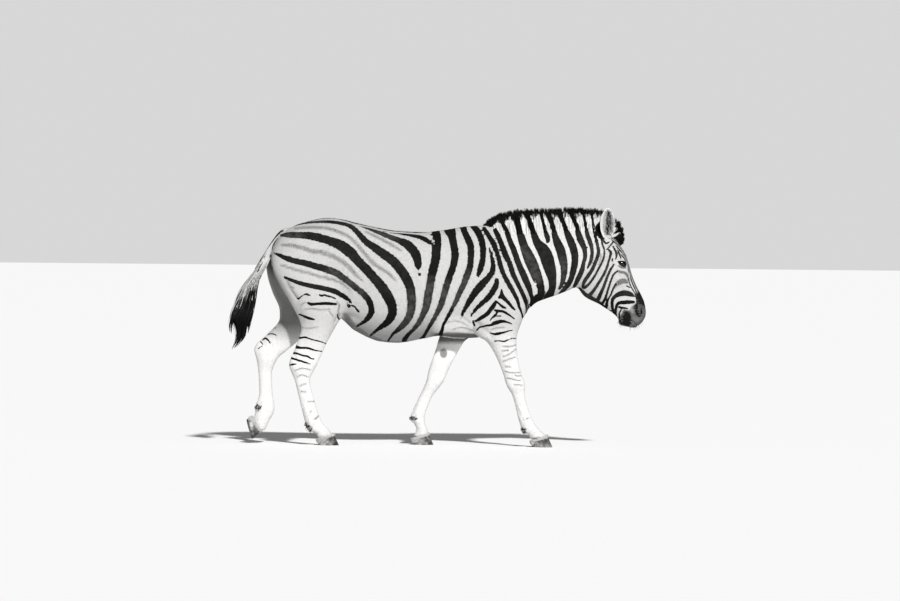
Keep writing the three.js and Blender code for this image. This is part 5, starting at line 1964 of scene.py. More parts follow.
def hoof_points():
    angle = np.linspace(0, 2 * np.pi, HOOF_SIDES, endpoint=False)
    c, s = np.cos(angle), np.sin(angle)
    heel = bell(np.abs(angle - np.pi), 0.42, 0.3)
    cleft = bell(angle, np.pi, 0.16)
    outline_x, outline_y, height = hoof_outline(angle)
    rings, levels = [], []
    for share, lift in SOLE:
        frog = 5.0 * np.exp(-((s * 3.2 / max(share, 0.2)) ** 2)) * (c < 0.45) * (share < 0.8)
        x = HOOF_LENGTH / 2 * share * (outline_x + 0.02 * heel - 0.05 * cleft)
        rings.append(np.column_stack([x, HOOF_WIDTH / 2 * share * outline_y, np.maximum(lift - frog, 0)]))
        levels.append(np.zeros(HOOF_SIDES))
    for level in np.linspace(0.03, 1, HOOF_LAYERS):
        share = (1 - (1 - HOOF_TAPER) * level) * (1 - 0.012 * math.exp(-level / 0.03))
        swell = 1 + 0.035 * math.exp(-(((level - 0.94) / 0.07) ** 2)) + 0.008 * math.sin(level * 34)
        x = HOOF_LENGTH / 2 * share * swell * (outline_x + 0.03 * heel - 0.07 * cleft) - TOE_SLOPE * level
        y = HOOF_WIDTH / 2 * share * swell * outline_y
        rings.append(np.column_stack([x, y, level * height]))
        levels.append(np.full(HOOF_SIDES, level))
    for share, drop in LID:
        x = HOOF_LENGTH / 2 * HOOF_TAPER * share * outline_x - TOE_SLOPE
        rings.append(np.column_stack([x, HOOF_WIDTH / 2 * HOOF_TAPER * share * outline_y, height - drop]))
        levels.append(np.ones(HOOF_SIDES))
    return np.vstack(rings), np.concatenate(levels), len(rings)


def placed_hoof(name):
    points, level, rings = hoof_points()
    _, pitch, dark_from = HOOF_PLACES[name]
    front = ramp(points[:, 0] + 16 * level, dark_from, dark_from + 42)
    if "fore" in name:
        front *= 0.62 + 0.38 * level
    # The lifted hind hoof is painted dark along the low edge of its wall, as painted shade of the sole.
    if pitch > 0:
        front = np.maximum(front, 1 - ramp(level, 0.26, 0.46))
    placed = to_scene(hoof_frame(points, name))
    made = mesh_object(name.replace("hoof_", "horn_"), placed, tube_faces(rings, HOOF_SIDES), HORN)
    store(made.data, "level", level)
    store(made.data, "shade", 0.06 + 0.86 * front)
    return made


hooves = {name: placed_hoof(name) for name in HOOF_PLACES}
print("hooves", {name: len(hoof.data.polygons) for name, hoof in hooves.items()})

# %% [markdown]
# ## Hair from guide lines
# Long hair could be combed by hand. Here each lock is a guide line with a thickness at every point, and one
# Geometry Nodes tree sweeps a small ring along all guide lines at once and closes their ends.

# %% Tree that sweeps locks
def new_tree(name, inputs):
    geometry = [("Geometry", "Geometry", None)]
    return new_group(name, "GeometryNodeTree", geometry + inputs, geometry)


def named(tree, name, kind="FLOAT"):
    return add(tree, "GeometryNodeInputNamedAttribute", {"Name": name}, data_type=kind).outputs["Attribute"]


def sweep_tree():
    inputs = [("Thickness", "Float", 1.0), ("Ring Corners", "Int", 3), ("Finish", "Material", None)]
    tree, start, end = new_tree("sweep_locks", inputs)
    curve = add(tree, "GeometryNodeMeshToCurve", {"Mesh": start["Geometry"]}).outputs["Curve"]
    circle = {"Radius": 1.0, "Resolution": start["Ring Corners"]}
    ring = add(tree, "GeometryNodeCurvePrimitiveCircle", circle).outputs["Curve"]
    scale = maths(tree, "MULTIPLY", named(tree, "thickness"), start["Thickness"])
    sweep = {"Curve": curve, "Profile Curve": ring, "Scale": scale, "Fill Caps": True}
    swept = add(tree, "GeometryNodeCurveToMesh", sweep).outputs["Mesh"]
    real = add(tree, "GeometryNodeRealizeInstances", {"Geometry": swept}).outputs["Geometry"]
    finish = add(tree, "GeometryNodeSetMaterial", {"Geometry": real, "Material": start["Finish"]})
    plug(tree, end["Geometry"], finish.outputs["Geometry"])
    return tree


def grown(name, base_mesh, tree, values):
    """A plain mesh object from a base mesh and a tree, with the tree's inputs set by name."""
    base = bpy.data.objects.new(name + "_guide", base_mesh)
    scene.collection.objects.link(base)
    modifier = base.modifiers.new("grow", "NODES")
    modifier.node_group = tree
    for item in tree.interface.items_tree:
        if item.in_out == "INPUT" and item.name in values:
            modifier[item.identifier] = values[item.name]
    evaluated = base.evaluated_get(bpy.context.evaluated_depsgraph_get())
    mesh = bpy.data.meshes.new_from_object(evaluated)
    base.modifiers.remove(modifier)
    bpy.data.objects.remove(base)
    mesh.name = name
    made = bpy.data.objects.new(name, mesh)
    scene.collection.objects.link(made)
    return made


SWEEP = sweep_tree()
print("tree", SWEEP.name, len(SWEEP.nodes), "nodes")

# %% From paths to locks
TUFT_PATCH = 0.003  # size of a lock's patch on the unwrap
STRIPE_BOUNDS = (-0.05, 0.05)
LOCK_CORNERS = 3


def corner_vertices(mesh):
    return read_rows(mesh.loops, "vertex_index", 1, np.int32)[:, 0]


def read_floats(mesh, name):
    return read_rows(mesh.attributes[name].data, "value", 1)[:, 0].astype(float)


vertex_uv = np.zeros((len(skin_mesh.vertices), 2))
vertex_uv[corner_vertices(skin_mesh)] = corner_uv
skin_tree = KDTree(len(skin_points))
for index, point in enumerate(skin_points):
    skin_tree.insert(point, index)
skin_tree.balance()


def nearest_skin(points):
    return np.array([skin_tree.find(point)[1] for point in points])


def store_uv(mesh, uv_of_point):
    layer = mesh.uv_layers.new(name=UNWRAP)
    layer.data.foreach_set("uv", np.asarray(uv_of_point[corner_vertices(mesh)], np.float32).ravel())


def locks(name, paths, thickness):
    """Locks of hair along paths of table points, one row of points for each lock."""
    count, steps = paths.shape[:2]
    index = np.arange(count * steps).reshape(count, steps)
    edges = np.column_stack([index[:, :-1].ravel(), index[:, 1:].ravel()])
    guide = bpy.data.meshes.new(name + "_guide")
    guide.from_pydata(to_scene(paths.reshape(-1, 3)).tolist(), edges.tolist(), [])
    store(guide, "thickness", thickness.ravel() * MM)
    store(guide, "along", np.tile(np.linspace(0, 1, steps), count))
    store(guide, "lock", np.repeat(np.arange(count), steps))
    values = {"Thickness": 1.0, "Ring Corners": LOCK_CORNERS, "Finish": MANE_HAIR}
    made = grown(name, guide, SWEEP, values)
    mesh = made.data
    along, lock = read_floats(mesh, "along"), np.rint(read_floats(mesh, "lock")).astype(int)
    root_uv = vertex_uv[nearest_skin(paths[:, 0])][lock]
    around = np.arange(len(along)) % LOCK_CORNERS / LOCK_CORNERS
    patch = TUFT_PATCH * np.column_stack([along - 0.5, around - 0.3])
    store_uv(mesh, root_uv + patch)
    mesh.polygons.foreach_set("use_smooth", np.ones(len(mesh.polygons), bool))
    return made, along, lock


def mark_hair(made, stripe, shadow=0.0, tone=1.0):
    """Store the marks of the coat on a piece of hair, and hand it back."""
    marks = {"stripe": np.clip(stripe, *STRIPE_BOUNDS), "shadow": shadow, "tone": tone}
    marks |= {"muzzle": 0.0, "down": 1.0}
    for name, values in marks.items():
        store(made.data, name, values + np.zeros(len(made.data.vertices)))
    return made


print("unwrap places", len(vertex_uv))

# %% [markdown]
# ## The mane and the forelock
# The mane stands up like a brush from the withers to the brow. Two lines, drawn on the side chart, give its
# roots and its tips, and each lock runs from one to the other. The stripes of the neck run on into it.

# %% Lines of the roots and of the tips
CREST_ROOTS = (
    "486 229, 497 231.5, 520 231.5, 545 231.5, 570 231, 590 230, 600 231.5, 606 235, 611 239,"
    "616.5 243.5"
)
CREST_TIPS = (
    "481.5 228, 484 223.4, 487.5 219, 493 215.2, 499.5 212.4, 508 210, 518 208.4, 530 207.8, 545 207.4,"
    "560 207, 575 206.8, 590 207.3, 600 208.6, 607 211, 614 216, 619 220, 622 226, 624.3 232, 624.8 238,"
    "623.2 243.5"
)
ROOT_STOPS = (0, 0.09, 0.24, 0.4, 0.56, 0.69, 0.78, 0.86, 0.93, 1.0)
FORELOCK_FROM = 0.8
MANE_STRIPES = STRIPES | {
    "withers_dark": "482 229 4, 487 226 6, 493 221 7, 497 217 5",
    "behind_ear_patch": HEAD_STRIPES["behind_ear_patch"],
}
FORELOCK_GAPS = {
    "forelock_white": "612 236.5 2.6, 616 234.8 2.4, 620 233.2 1.6",
    "forelock_gap": "614.6 218 1.6, 615.4 222 2.6, 613.8 226 2.6",
    "forelock_low": "609 237 2.4, 611.5 233 4, 614 229.8 4, 617.2 228.2 2",
}


def from_chart(chart):
    """Where places of the chart lie on the middle plane: along and up."""
    scale = 1 / CHART_UNIT
    moved = chart - np.array(CHART_MIDDLE)
    across, down = turn_pair(moved[:, 0], moved[:, 1], CHART_TILT)
    return across / scale + CHART_EYE[0], CHART_EYE[1] - (down - CHART_HORIZON) / scale


def chart_line(text, stops=None):
    rows = rows_of(text)
    run = np.r_[0, np.cumsum(np.hypot(*np.diff(rows, axis=0).T))]
    return (run / run[-1] if stops is None else np.array(stops)), rows


def read_line(line, at):
    stops, rows = line
    return np.column_stack([np.interp(at, stops, rows[:, k]) for k in range(2)])


root_line = chart_line(CREST_ROOTS, ROOT_STOPS)
tip_line = chart_line(CREST_TIPS)
print("crest", len(root_line[1]), "and", len(tip_line[1]), "stops")


# %% Locks of the crest
CREST_HALF, CREST_TIP_HALF = 24.0, 15.0
LOCK_TAPER = np.array([1.0, 1.05, 1.0, 0.85, 0.55, 0.1])
CLUMPS = 170  # clumps of locks along the whole crest
CREST_RUN = 880.0  # millimetres along the whole crest
MANE_PULL, FORELOCK_PULL = 0.45, 0.15  # how much the tips of a clump draw together
MANE_LOCKS, FORELOCK_LOCKS = 4200, 1100
BLACK_TIP_FROM, BLACK_TIP_SPREAD = 0.71, 0.055  # share of a lock from which its tip is black


def chart_at(points):
    return to_chart(points, np.abs(points[:, 1]))


def crest_locks(name, count, first, last, seed):
    rng = np.random.default_rng(seed)
    at = rng.uniform(first, last, count)
    side = rng.uniform(-1, 1, count)
    root_x, root_z = from_chart(read_line(root_line, at))
    tip_x, tip_z = from_chart(read_line(tip_line, at + rng.normal(0, 0.004, count)))
    narrow = 0.55 + 0.45 * ramp(at, 0, 0.12)
    roots = np.column_stack([root_x, side * CREST_HALF * narrow, root_z - 14 - 8 * np.abs(side)])
    tips = np.column_stack([tip_x, side * CREST_TIP_HALF * narrow + rng.normal(0, 4, count), tip_z])
    reach = rng.uniform(0.84, 1.0, count) ** 0.5
    reach *= 1 - 0.10 * np.abs(side) ** 2
    clumps = np.sort(rng.uniform(first - 0.01, last + 0.01, round(CLUMPS * (last - first))))
    clump = np.abs(at[:, None] - clumps[None, :]).argmin(1)
    reach *= 1.0 + rng.uniform(-0.045, 0.035, len(clumps))[clump]
    is_mane = first < FORELOCK_FROM
    pull = MANE_PULL if is_mane else FORELOCK_PULL
    tips[:, 0] += pull * (clumps[clump] - at) * CREST_RUN + rng.normal(0, 3.0, len(clumps))[clump]
    tips = roots + (tips - roots) * reach[:, None]
    t = np.linspace(0, 1, len(LOCK_TAPER))[None, :, None]
    bow = rng.normal(0, 3.2, (count, 1, 3)) * np.array([1.0, 0.7, 0.3])
    paths = roots[:, None] + (tips - roots)[:, None] * t + bow * np.sin(np.pi * t)
    paths += rng.normal(0, 1.6, (count, 1, 3)) * t**2 * np.array([1.0, 1.0, 0.0])
    thickness = rng.uniform(2.2, 4.0, count)[:, None] * LOCK_TAPER
    made, along, lock = locks(name, paths, thickness)
    chart = chart_at(to_table(read_points(made.data)))
    long = np.linalg.norm(tips - roots, axis=1)[lock]
    black_from = BLACK_TIP_FROM - 0.16 * (1 - ramp(at, 0, 0.35)) + rng.normal(0, BLACK_TIP_SPREAD, count)
    along = along * reach[lock]
    long = long / reach[lock]
    stripe = stroke_distance(MANE_STRIPES, chart) * CHART_UNIT + rng.normal(0, 1.5, count)[lock]
    if not is_mane:
        stripe = np.minimum(-stroke_distance(FORELOCK_GAPS, chart) * CHART_UNIT, 20.0)
    stripe = np.minimum(stripe, (black_from[lock] - along) * long)
    return mark_hair(made, stripe * MM)


mane = crest_locks("mane_locks", MANE_LOCKS, 0.0, FORELOCK_FROM, RNG_SEED)
forelock = crest_locks("forelock_locks", FORELOCK_LOCKS, FORELOCK_FROM, 1.0, RNG_SEED + 1)
print("mane", len(mane.data.polygons), "forelock", len(forelock.data.polygons))

# %% Core of the mane
CORE_STEPS, CORE_LEVELS = 200, 7


def crest_core():
    at = np.linspace(0.01, 0.985, CORE_STEPS)
    low_x, low_z = from_chart(read_line(root_line, at))
    high_x, high_z = from_chart(read_line(tip_line, at))
    ends = np.minimum(ramp(at, 0.0, 0.05), ramp(1 - at, 0.0, 0.03))
    levels = np.linspace(-0.12, 0.80, CORE_LEVELS)
    around = [(level, -1) for level in levels] + [(level, 1) for level in levels[::-1]]
    rings = []
    for level, sign in around:
        half = (17 - 9 * level) * ends * (0.35 if level == levels[-1] else 1)
        up = level * (0.3 + 0.7 * ends)
        x = low_x + (high_x - low_x) * up
        z = low_z + (high_z - low_z) * up
        rings.append(np.column_stack([x, sign * half, z]))
    points = np.stack(rings, 1).reshape(-1, 3)
    faces = tube_faces(CORE_STEPS, len(around), flip=True)
    made = mesh_object("mane_core", to_scene(points), faces, MANE_HAIR)
    chart = chart_at(points)
    level_of = np.tile([level for level, _ in around], CORE_STEPS)
    stripe = np.minimum(stroke_distance(MANE_STRIPES, chart) * CHART_UNIT, (0.7 - level_of) * 130)
    in_forelock = np.repeat(at, len(around)) > FORELOCK_FROM
    stripe = np.where(in_forelock, -stroke_distance(FORELOCK_GAPS, chart) * CHART_UNIT, stripe)
    patch = TUFT_PATCH * 0.5 * np.column_stack([level_of, level_of])
    store_uv(made.data, vertex_uv[nearest_skin(points)] + patch)
    return mark_hair(made, stripe * MM)


mane_core = crest_core()
hair_pieces = [mane_core]
print("core", len(mane_core.data.polygons))

# %% [markdown]
# ## The tail
# The switch hangs from the lower half of the dock and swings a little to the rear. Its locks keep their
# place between the front and rear edge as they fall, so the outline follows the table below.

# %% Switch
# Columns: up, rear, front, half width.
SWITCH = fine_table([
    (1215, -1030, -985, 18),
    (1180, -1042, -996, 20),
    (1130, -1072, -1020, 22),
    (1070, -1104, -1048, 25),
    (1030, -1128, -1072, 29),
    (980, -1168, -1094, 34),
    (930, -1198, -1105, 40),
    (870, -1222, -1112, 45),
    (800, -1250, -1124, 48),
    (740, -1270, -1138, 47),
    (690, -1284, -1150, 43),
    (640, -1272, -1162, 37),
    (600, -1262, -1192, 26),
    (570, -1266, -1222, 14),
])
SWITCH_CLUMPS, CLUMP_LOCKS, SWITCH_STEPS = 46, 62, 12
SWITCH_TAPER = ((0, 0.06, 0.5, 0.85, 1), (0.6, 1.0, 1.0, 0.6, 0.08))
GOLDEN_TURN = 2.39996  # radians from clump to clump, so that they fill the round evenly
LOCK_TOPS = (1010, 1180)
LOWEST_END, END_SPREAD, FRONT_LIFT = 562, 120, 95  # where clumps end, and how much higher in front
REAR_FROM, REAR_ENDS = 0.62, (655, 720)  # share out to the rear, and where the clumps beyond it end
WISPS, WISP_ENDS = 0.32, (700, 960)  # share of the clumps in front that end high up, and where
FLYAWAY = 0.08  # share of the locks that stand off to the rear
NOTCH_FILL = 0.33  # how far the low locks draw forward, all but those at the rear
WHITE_FROM, WHITE_SPREAD = 918, 50  # height from which the locks are white
PALE_LOCKS = 0.24  # share of the black locks painted paler, partly as faded hair and partly as painted highlights
DOCK_DOTS = {
    "dot_a": "265.3 257.2 1.8, 264.5 257.6 1.8",
    "dot_b": "263.4 261.2 1.5, 262.6 261.8 1.5",
    "dot_c": "261.9 263.6 1.5, 261 264.4 1.5",
    "dot_d": "260.3 266 1.6, 259.4 267 1.6",
    "dot_e": "260.4 271 1.8, 258 271.6 1.8, 257.6 269.6 1.4",
}


def switch_clumps(rng):
    """Where each clump hangs, how far it reaches down and how wide it is."""
    angle = np.arange(SWITCH_CLUMPS) * GOLDEN_TURN + rng.normal(0, 0.15, SWITCH_CLUMPS)
    out = np.sqrt((np.arange(SWITCH_CLUMPS) + 0.5) / SWITCH_CLUMPS)
    bottom = LOWEST_END + END_SPREAD * rng.uniform(0, 1, SWITCH_CLUMPS) ** 1.5
    rear = -np.cos(angle) * out
    bottom += FRONT_LIFT * ramp(-rear, 0.3, 0.9)
    bottom = np.where(rear > REAR_FROM, rng.uniform(*REAR_ENDS, SWITCH_CLUMPS), bottom)
    wisp = (rng.uniform(0, 1, SWITCH_CLUMPS) < WISPS) & (rear > -0.1)
    bottom = np.where(wisp, rng.uniform(*WISP_ENDS, SWITCH_CLUMPS), bottom)
    return angle, out * np.where(wisp, 1.05, 0.94), bottom, np.where(wisp, 0.05, 0.13)


def switch_locks(seed):
    rng = np.random.default_rng(seed)
    count = SWITCH_CLUMPS * CLUMP_LOCKS
    of = np.repeat(np.arange(SWITCH_CLUMPS), CLUMP_LOCKS)
    angle, out, low, wide = [v[of] for v in switch_clumps(rng)]
    top = rng.uniform(*LOCK_TOPS, count)
    bottom = low + 110 * rng.beta(1.2, 2.6, count)
    t = np.linspace(0, 1, SWITCH_STEPS)
    height = top[:, None] + (bottom - top)[:, None] * t
    rear, front, half = read_table(SWITCH, height)
    spread = 0.45 + 0.55 * ramp(t, 0, 0.3)[None, :]
    inside = rng.normal(0, 1, (2, count, 1)) * wide[:, None] * (1 - 0.8 * ramp(t, 0.3, 1)[None, :])
    sway_at = rng.uniform(0, 6, (2, SWITCH_CLUMPS))[:, of, None]
    sway = 0.09 * np.sin(2.2 * np.pi * t + sway_at) * ramp(t, 0.1, 0.5)
    u = np.clip(np.cos(angle)[:, None] * out[:, None] * spread + inside[0] + sway[0], -1.06, 1.0)
    v = np.clip(np.sin(angle)[:, None] * out[:, None] * spread + inside[1] + sway[1], -1.0, 1.0)
    stray = rng.exponential(0.12, count) * (rng.uniform(0, 1, count) < FLYAWAY)
    u = u - stray[:, None] * ramp(t, 0.08, 0.5)
    notch = ramp(750 - height, 0, 60) * ramp(height, 590, 650) * (-np.cos(angle) * out < REAR_FROM)[:, None]
    u = u + NOTCH_FILL * notch * (1 - u)
    x = (rear + front) / 2 + u * (front - rear) / 2
    paths = np.stack([x, v * half, height], -1)
    thickness = rng.uniform(1.6, 3.0, count)[:, None] * np.interp(t, *SWITCH_TAPER)
    made, _, lock = locks("tail_locks", paths, thickness)
    points = to_table(read_points(made.data))
    z = points[:, 2]
    rear_side = np.interp(z, SWITCH[:, 0], (SWITCH[:, 1] + SWITCH[:, 2]) / 2) - points[:, 0]
    white_from = WHITE_FROM + WHITE_SPREAD * rng.normal(0, 1, count)[lock]
    white_from -= 1.2 * np.clip(rear_side, -40, 80)
    stripe = (z - white_from) * MM * 0.12
    dots = stroke_distance(DOCK_DOTS, chart_at(points)) * CHART_UNIT * MM
    stripe = np.where(points[:, 1] < 0, np.minimum(stripe, dots), stripe)
    grey = rng.uniform(0.25, 0.8, count)[lock] * ramp(1110 - z, 0, 80)
    pale = (rng.uniform(0, 1, count) < PALE_LOCKS)[lock] * rng.uniform(0.5, 1.0, count)[lock]
    grey = np.where(stripe < 0, pale * ramp(z, 740, 860), grey)
    return mark_hair(made, stripe, shadow=grey)


tail = switch_locks(RNG_SEED + 2)
print("tail", len(tail.data.polygons))

# %% [markdown]
# ## Small hair
# Short hair fills the ears, hangs over the coronets and stands in dark tufts behind the fetlocks. The lids
# carry lashes, and a few stiff whiskers stand on the chin and the lips.

# %% Helpers for small hair
STRAND_TAPER = np.array([1.0, 1.0, 0.85, 0.55, 0.08])


def strands(name, roots, directions, lengths, droop, thickness, seed):
    """Short locks from roots along directions, bent by a droop, and which lock each corner belongs to."""
    rng = np.random.default_rng(seed)
    t = np.linspace(0, 1, len(STRAND_TAPER))[None, :, None]
    steps = directions[:, None] * t + np.asarray(droop) * t**2
    paths = roots[:, None] + steps * lengths[:, None, None]
    paths += rng.normal(0, 0.06, (len(roots), 1, 3)) * t**2 * lengths[:, None, None]
    thick = thickness * rng.uniform(0.75, 1.2, len(roots))[:, None] * STRAND_TAPER
    made, _, lock = locks(name, paths, thick)
    return made, lock


def joined(parts):
    """One array of each kind out of the arrays of several places."""
    return [np.concatenate(kind) for kind in zip(*parts)]


print("steps of a strand", len(STRAND_TAPER))

# %% Hair in the ears
EAR_STRANDS = 330


def ear_hair():
    rng = np.random.default_rng(RNG_SEED + 5)
    parts = []
    for side in (RIGHT, LEFT):
        points, kind = ear_points(side)
        inner = np.flatnonzero((kind[:, 0] > 0.5) & (kind[:, 2] > 0.08) & (kind[:, 2] < 0.86))
        across = np.cos(kind[inner, 1])
        wanted = bell(across, 0.12, 0.5) + 0.8 * (across > 0.7) * (kind[inner, 2] < 0.5)
        chosen = rng.choice(inner, EAR_STRANDS, p=wanted / wanted.sum())
        parts.append((points[chosen], np.full(EAR_STRANDS, side), kind[chosen]))
    roots, sides, kind = joined(parts)
    u, level = np.cos(kind[:, 1]), kind[:, 2]
    roots = roots + rng.normal(0, 2.0, roots.shape)
    leaning = np.column_stack([rng.normal(-0.1, 0.35, len(u)), 0 * u, rng.uniform(0.4, 1.0, len(u))])
    directions = unit(0.55 * np.column_stack([0 * u, sides, 0 * u]) + leaning)
    lengths = rng.uniform(16, 34, len(u)) * (1.1 - 0.5 * level)
    made, lock = strands("ear_hair", roots, directions, lengths, (0, 0, 0), 1.1, RNG_SEED + 6)
    dark = (np.abs(u - 0.32) < rng.uniform(0.24, 0.6, len(u))) & (rng.uniform(0, 1, len(u)) < 0.88)
    stripe = np.where(dark, ALL_BLACK, ALL_WHITE)[lock]
    return mark_hair(made, stripe, shadow=rng.uniform(0, 0.3, len(u))[lock], tone=0.95)


hair_pieces.append(ear_hair())
print("ear hair", len(hair_pieces[-1].data.polygons))


# %% Coronets
def coronet_line(angle):
    """The line round the top of a hoof, how near each point lies to a heel, and the way out from it."""
    outline_x, outline_y, height = hoof_outline(angle)
    x = HOOF_LENGTH / 2 * HOOF_TAPER * outline_x - TOE_SLOPE
    heel = bell(np.abs(angle - np.pi), 0.5, 0.42)
    out = np.column_stack([np.cos(angle), np.sin(angle), 0 * angle])
    return np.column_stack([x, HOOF_WIDTH / 2 * HOOF_TAPER * outline_y, height]), heel, out


ROLL_SIDES = 10
ROLL_RADIUS, HEEL_SWELL, ROLL_TALL = 7.0, 7.5, 1.35


def coronet_roll(name):
    """A soft roll of hide over the edge of the horn."""
    angle = np.linspace(0, 2 * np.pi, HOOF_SIDES, endpoint=False)
    middle, heel, out = coronet_line(angle)
    middle[:, :2] *= 1 - 0.05 * heel[:, None]
    middle[:, 2] += 4 - 5 * heel
    around = np.linspace(0, 2 * np.pi, ROLL_SIDES, endpoint=False)[None, :, None]
    radius = ROLL_RADIUS + HEEL_SWELL * heel
    ring = out[:, None] * np.cos(around) + np.array([0, 0, ROLL_TALL]) * np.sin(around)
    points = (middle[:, None] - 3 * out[:, None] + radius[:, None, None] * ring).reshape(-1, 3)
    index = np.arange(len(points)).reshape(HOOF_SIDES, ROLL_SIDES)
    after, beside_it = np.roll(index, -1, 0), np.roll(index, -1, 1)
    faces = np.stack([index, after, np.roll(after, -1, 1), beside_it], -1).reshape(-1, 4)
    placed = hoof_frame(points, name)
    made = mesh_object(name.replace("hoof", "coronet"), to_scene(placed), faces, COAT)
    count = np.arange(len(points))
    uneven = 0.4 + 0.1 * np.sin(count * 0.7) * np.sin(count * 0.13)
    store_uv(made.data, vertex_uv[nearest_skin(placed)])
    return mark_hair(made, ALL_WHITE, shadow=uneven, tone=0.9)


rolls = [coronet_roll(name) for name in HOOF_PLACES]
hair_pieces += rolls
print("coronets", [len(roll.data.polygons) for roll in rolls])

# %% Hair over the coronets
CORONET_STRANDS = 420


def coronet_hair():
    rng = np.random.default_rng(RNG_SEED + 7)
    parts = []
    for name in HOOF_PLACES:
        angle = rng.uniform(0, 2 * np.pi, CORONET_STRANDS)
        middle, heel, out = coronet_line(angle)
        up = rng.uniform(2, 13, len(angle))
        root = middle + out * (3 + 3 * heel)[:, None] + up[:, None] * np.array([-0.25, 0, 1.0])
        ahead = out * 0.34 + np.array([0.2, 0, -1.0])
        here, there = hoof_frame(root, name), hoof_frame(root + ahead, name)
        parts.append((here, unit(there - here), heel))
    roots, directions, heels = joined(parts)
    lengths = rng.uniform(7, 12, len(roots)) * (1 - 0.3 * heels)
    made, lock = strands("coronet_hair", roots, directions, lengths, (0, 0, -0.1), 1.3, RNG_SEED + 8)
    return mark_hair(made, ALL_WHITE, shadow=rng.uniform(0.1, 0.4, len(roots))[lock], tone=0.92)


hair_pieces.append(coronet_hair())
print("coronet hair", len(hair_pieces[-1].data.polygons))

# %% Tufts behind the fetlocks
# Each row: forward, across, up, half length of the tuft, slope of the tuft in degrees, thickness.
ERGOTS = {
    "hind_right": (-786, -124, 112, 24, -40, 9),
    "fore_right": (496, -122, 101, 16, -40, 7),
    "fore_left": (-158, 92, 160, 16, -10, 7),
    "hind_left": (-1100, 93, 216, 22, -18, 20),
}


TUFT_STRANDS = 150


def fetlock_tufts():
    rng = np.random.default_rng(RNG_SEED + 9)
    parts = []
    for x, y, z, half, slope, thick in ERGOTS.values():
        count = TUFT_STRANDS
        at = rng.uniform(-1, 1, count)
        c, s = math.cos(math.radians(slope)), math.sin(math.radians(slope))
        place = np.column_stack([x + half * at * c, y + rng.normal(0, 9, count), z + half * at * s])
        place += np.array([7.0, 0, thick]) * (rng.uniform(0, 1, (count, 1)) - np.array([0, 0, 0.3]))
        roots = skin_points[nearest_skin(place)] + rng.normal(0, 2.5, (count, 3))
        behind, sideways = rng.normal(-0.55, 0.2, count), rng.normal(0, 0.25, count)
        directions = unit(np.column_stack([behind, sideways, -np.ones(count)]))
        parts.append((roots, directions, rng.uniform(9, 15, count)))
    made, lock = strands("fetlock_tufts", *joined(parts), (-0.1, 0, 0), 1.8, RNG_SEED + 10)
    dark = rng.uniform(0, 1, TUFT_STRANDS * len(ERGOTS)) < 0.8
    return mark_hair(made, np.where(dark, ALL_BLACK, ALL_WHITE)[lock], shadow=0.5)


hair_pieces.append(fetlock_tufts())
print("fetlock tufts", len(hair_pieces[-1].data.polygons))

# %% Lashes and whiskers
LASHES, WHISKERS = 110, 90


def lashes():
    rng = np.random.default_rng(RNG_SEED + 11)
    parts = []
    for side in (RIGHT, LEFT):
        turn = rng.uniform(0.25, 2.75, LASHES)
        along, across = 1.04 * rim_distance(turn) * np.array([np.cos(turn), np.sin(turn)])
        out = np.sqrt(np.clip((EYE_RADIUS + 3.0) ** 2 - along**2 - across**2, 9, None))
        ahead, up = turn_pair(along, across, -EYE_TILT)
        own = np.column_stack([ahead, side * out, up]) + on_side(EYE_AT, side)
        spread = np.column_stack([np.cos(turn) * 0.6 + 0.1, np.full(LASHES, 1.1 * side), -0.15 + 0 * turn])
        roots = from_head(own)
        parts.append((roots, unit(from_head(own + unit(spread)) - roots), rng.uniform(9, 15, LASHES)))
    made, _ = strands("lashes", *joined(parts), (0, 0, -0.25), 0.55, RNG_SEED + 12)
    return mark_hair(made, ALL_BLACK)


def whiskers():
    rng = np.random.default_rng(RNG_SEED + 13)
    near = (own_place[:, 0] > 385) & (own_place[:, 2] < 40) & (skin_points[:, 0] > FACE_FROM)
    chosen = rng.choice(np.flatnonzero(near), WHISKERS, replace=False)
    ahead = unit(skin_normals[chosen] + np.array([0.15, 0, -0.5]))
    lengths = rng.uniform(10, 24, WHISKERS)
    made, _ = strands("whiskers", skin_points[chosen], ahead, lengths, (0, 0, -0.3), 0.42, RNG_SEED + 14)
    return mark_hair(made, ALL_BLACK)


hair_pieces += [lashes(), whiskers()]
print("lashes and whiskers", [len(piece.data.polygons) for piece in hair_pieces[-2:]])

# %% [markdown]
# ## Short coat
# The coat is only a centimetre long and lies flat, so most of it is bump. Small tufts of solid hair lie
# over it, denser on the head, on the legs and wherever the skin turns away from the side. They are scattered
# by a Geometry Nodes tree, which turns each along the lie and reads the marks for it.

# %% One tuft
TUFT_RINGS = ((0.0, -0.12, 0.5), (0.4, 0.16, 0.42), (0.75, 0.30, 0.22), (1.0, 0.36, 0.02))


def tuft_mesh():
    points, patch = [], []
    for along, lift, half in TUFT_RINGS:
        for turn in (math.pi / 2, math.pi * 7 / 6, math.pi * 11 / 6):
            points.append((along, half * math.cos(turn), lift + 0.35 * half * math.sin(turn)))
            patch.append((along - 0.5, half * math.cos(turn), 0.0))
    made = mesh_object("tuft", np.array(points), tube_faces(len(TUFT_RINGS), 3), TUFT_COAT)
    store(made.data, "patch", np.array(patch))
    return made


tuft = tuft_mesh()
measured = bmesh.new()
measured.from_mesh(tuft.data)
if measured.calc_volume(signed=True) < 0:
    bmesh.ops.reverse_faces(measured, faces=measured.faces)
    measured.to_mesh(tuft.data)
measured.free()
print("tuft", len(tuft.data.polygons), "faces")


# %% Tree that lays the tufts
MARKS = ("stripe", "shadow", "tone", "muzzle", "down")
# Each tuft is turned by up to so many radians, and is longer or wider by a random share.
TURN_LOW, TURN_HIGH = (-0.2, -0.10, -0.3), (0.2, 0.06, 0.3)
LONG_SHARE, WIDE_SHARE = (0.6, 1.25), (0.7, 1.2)


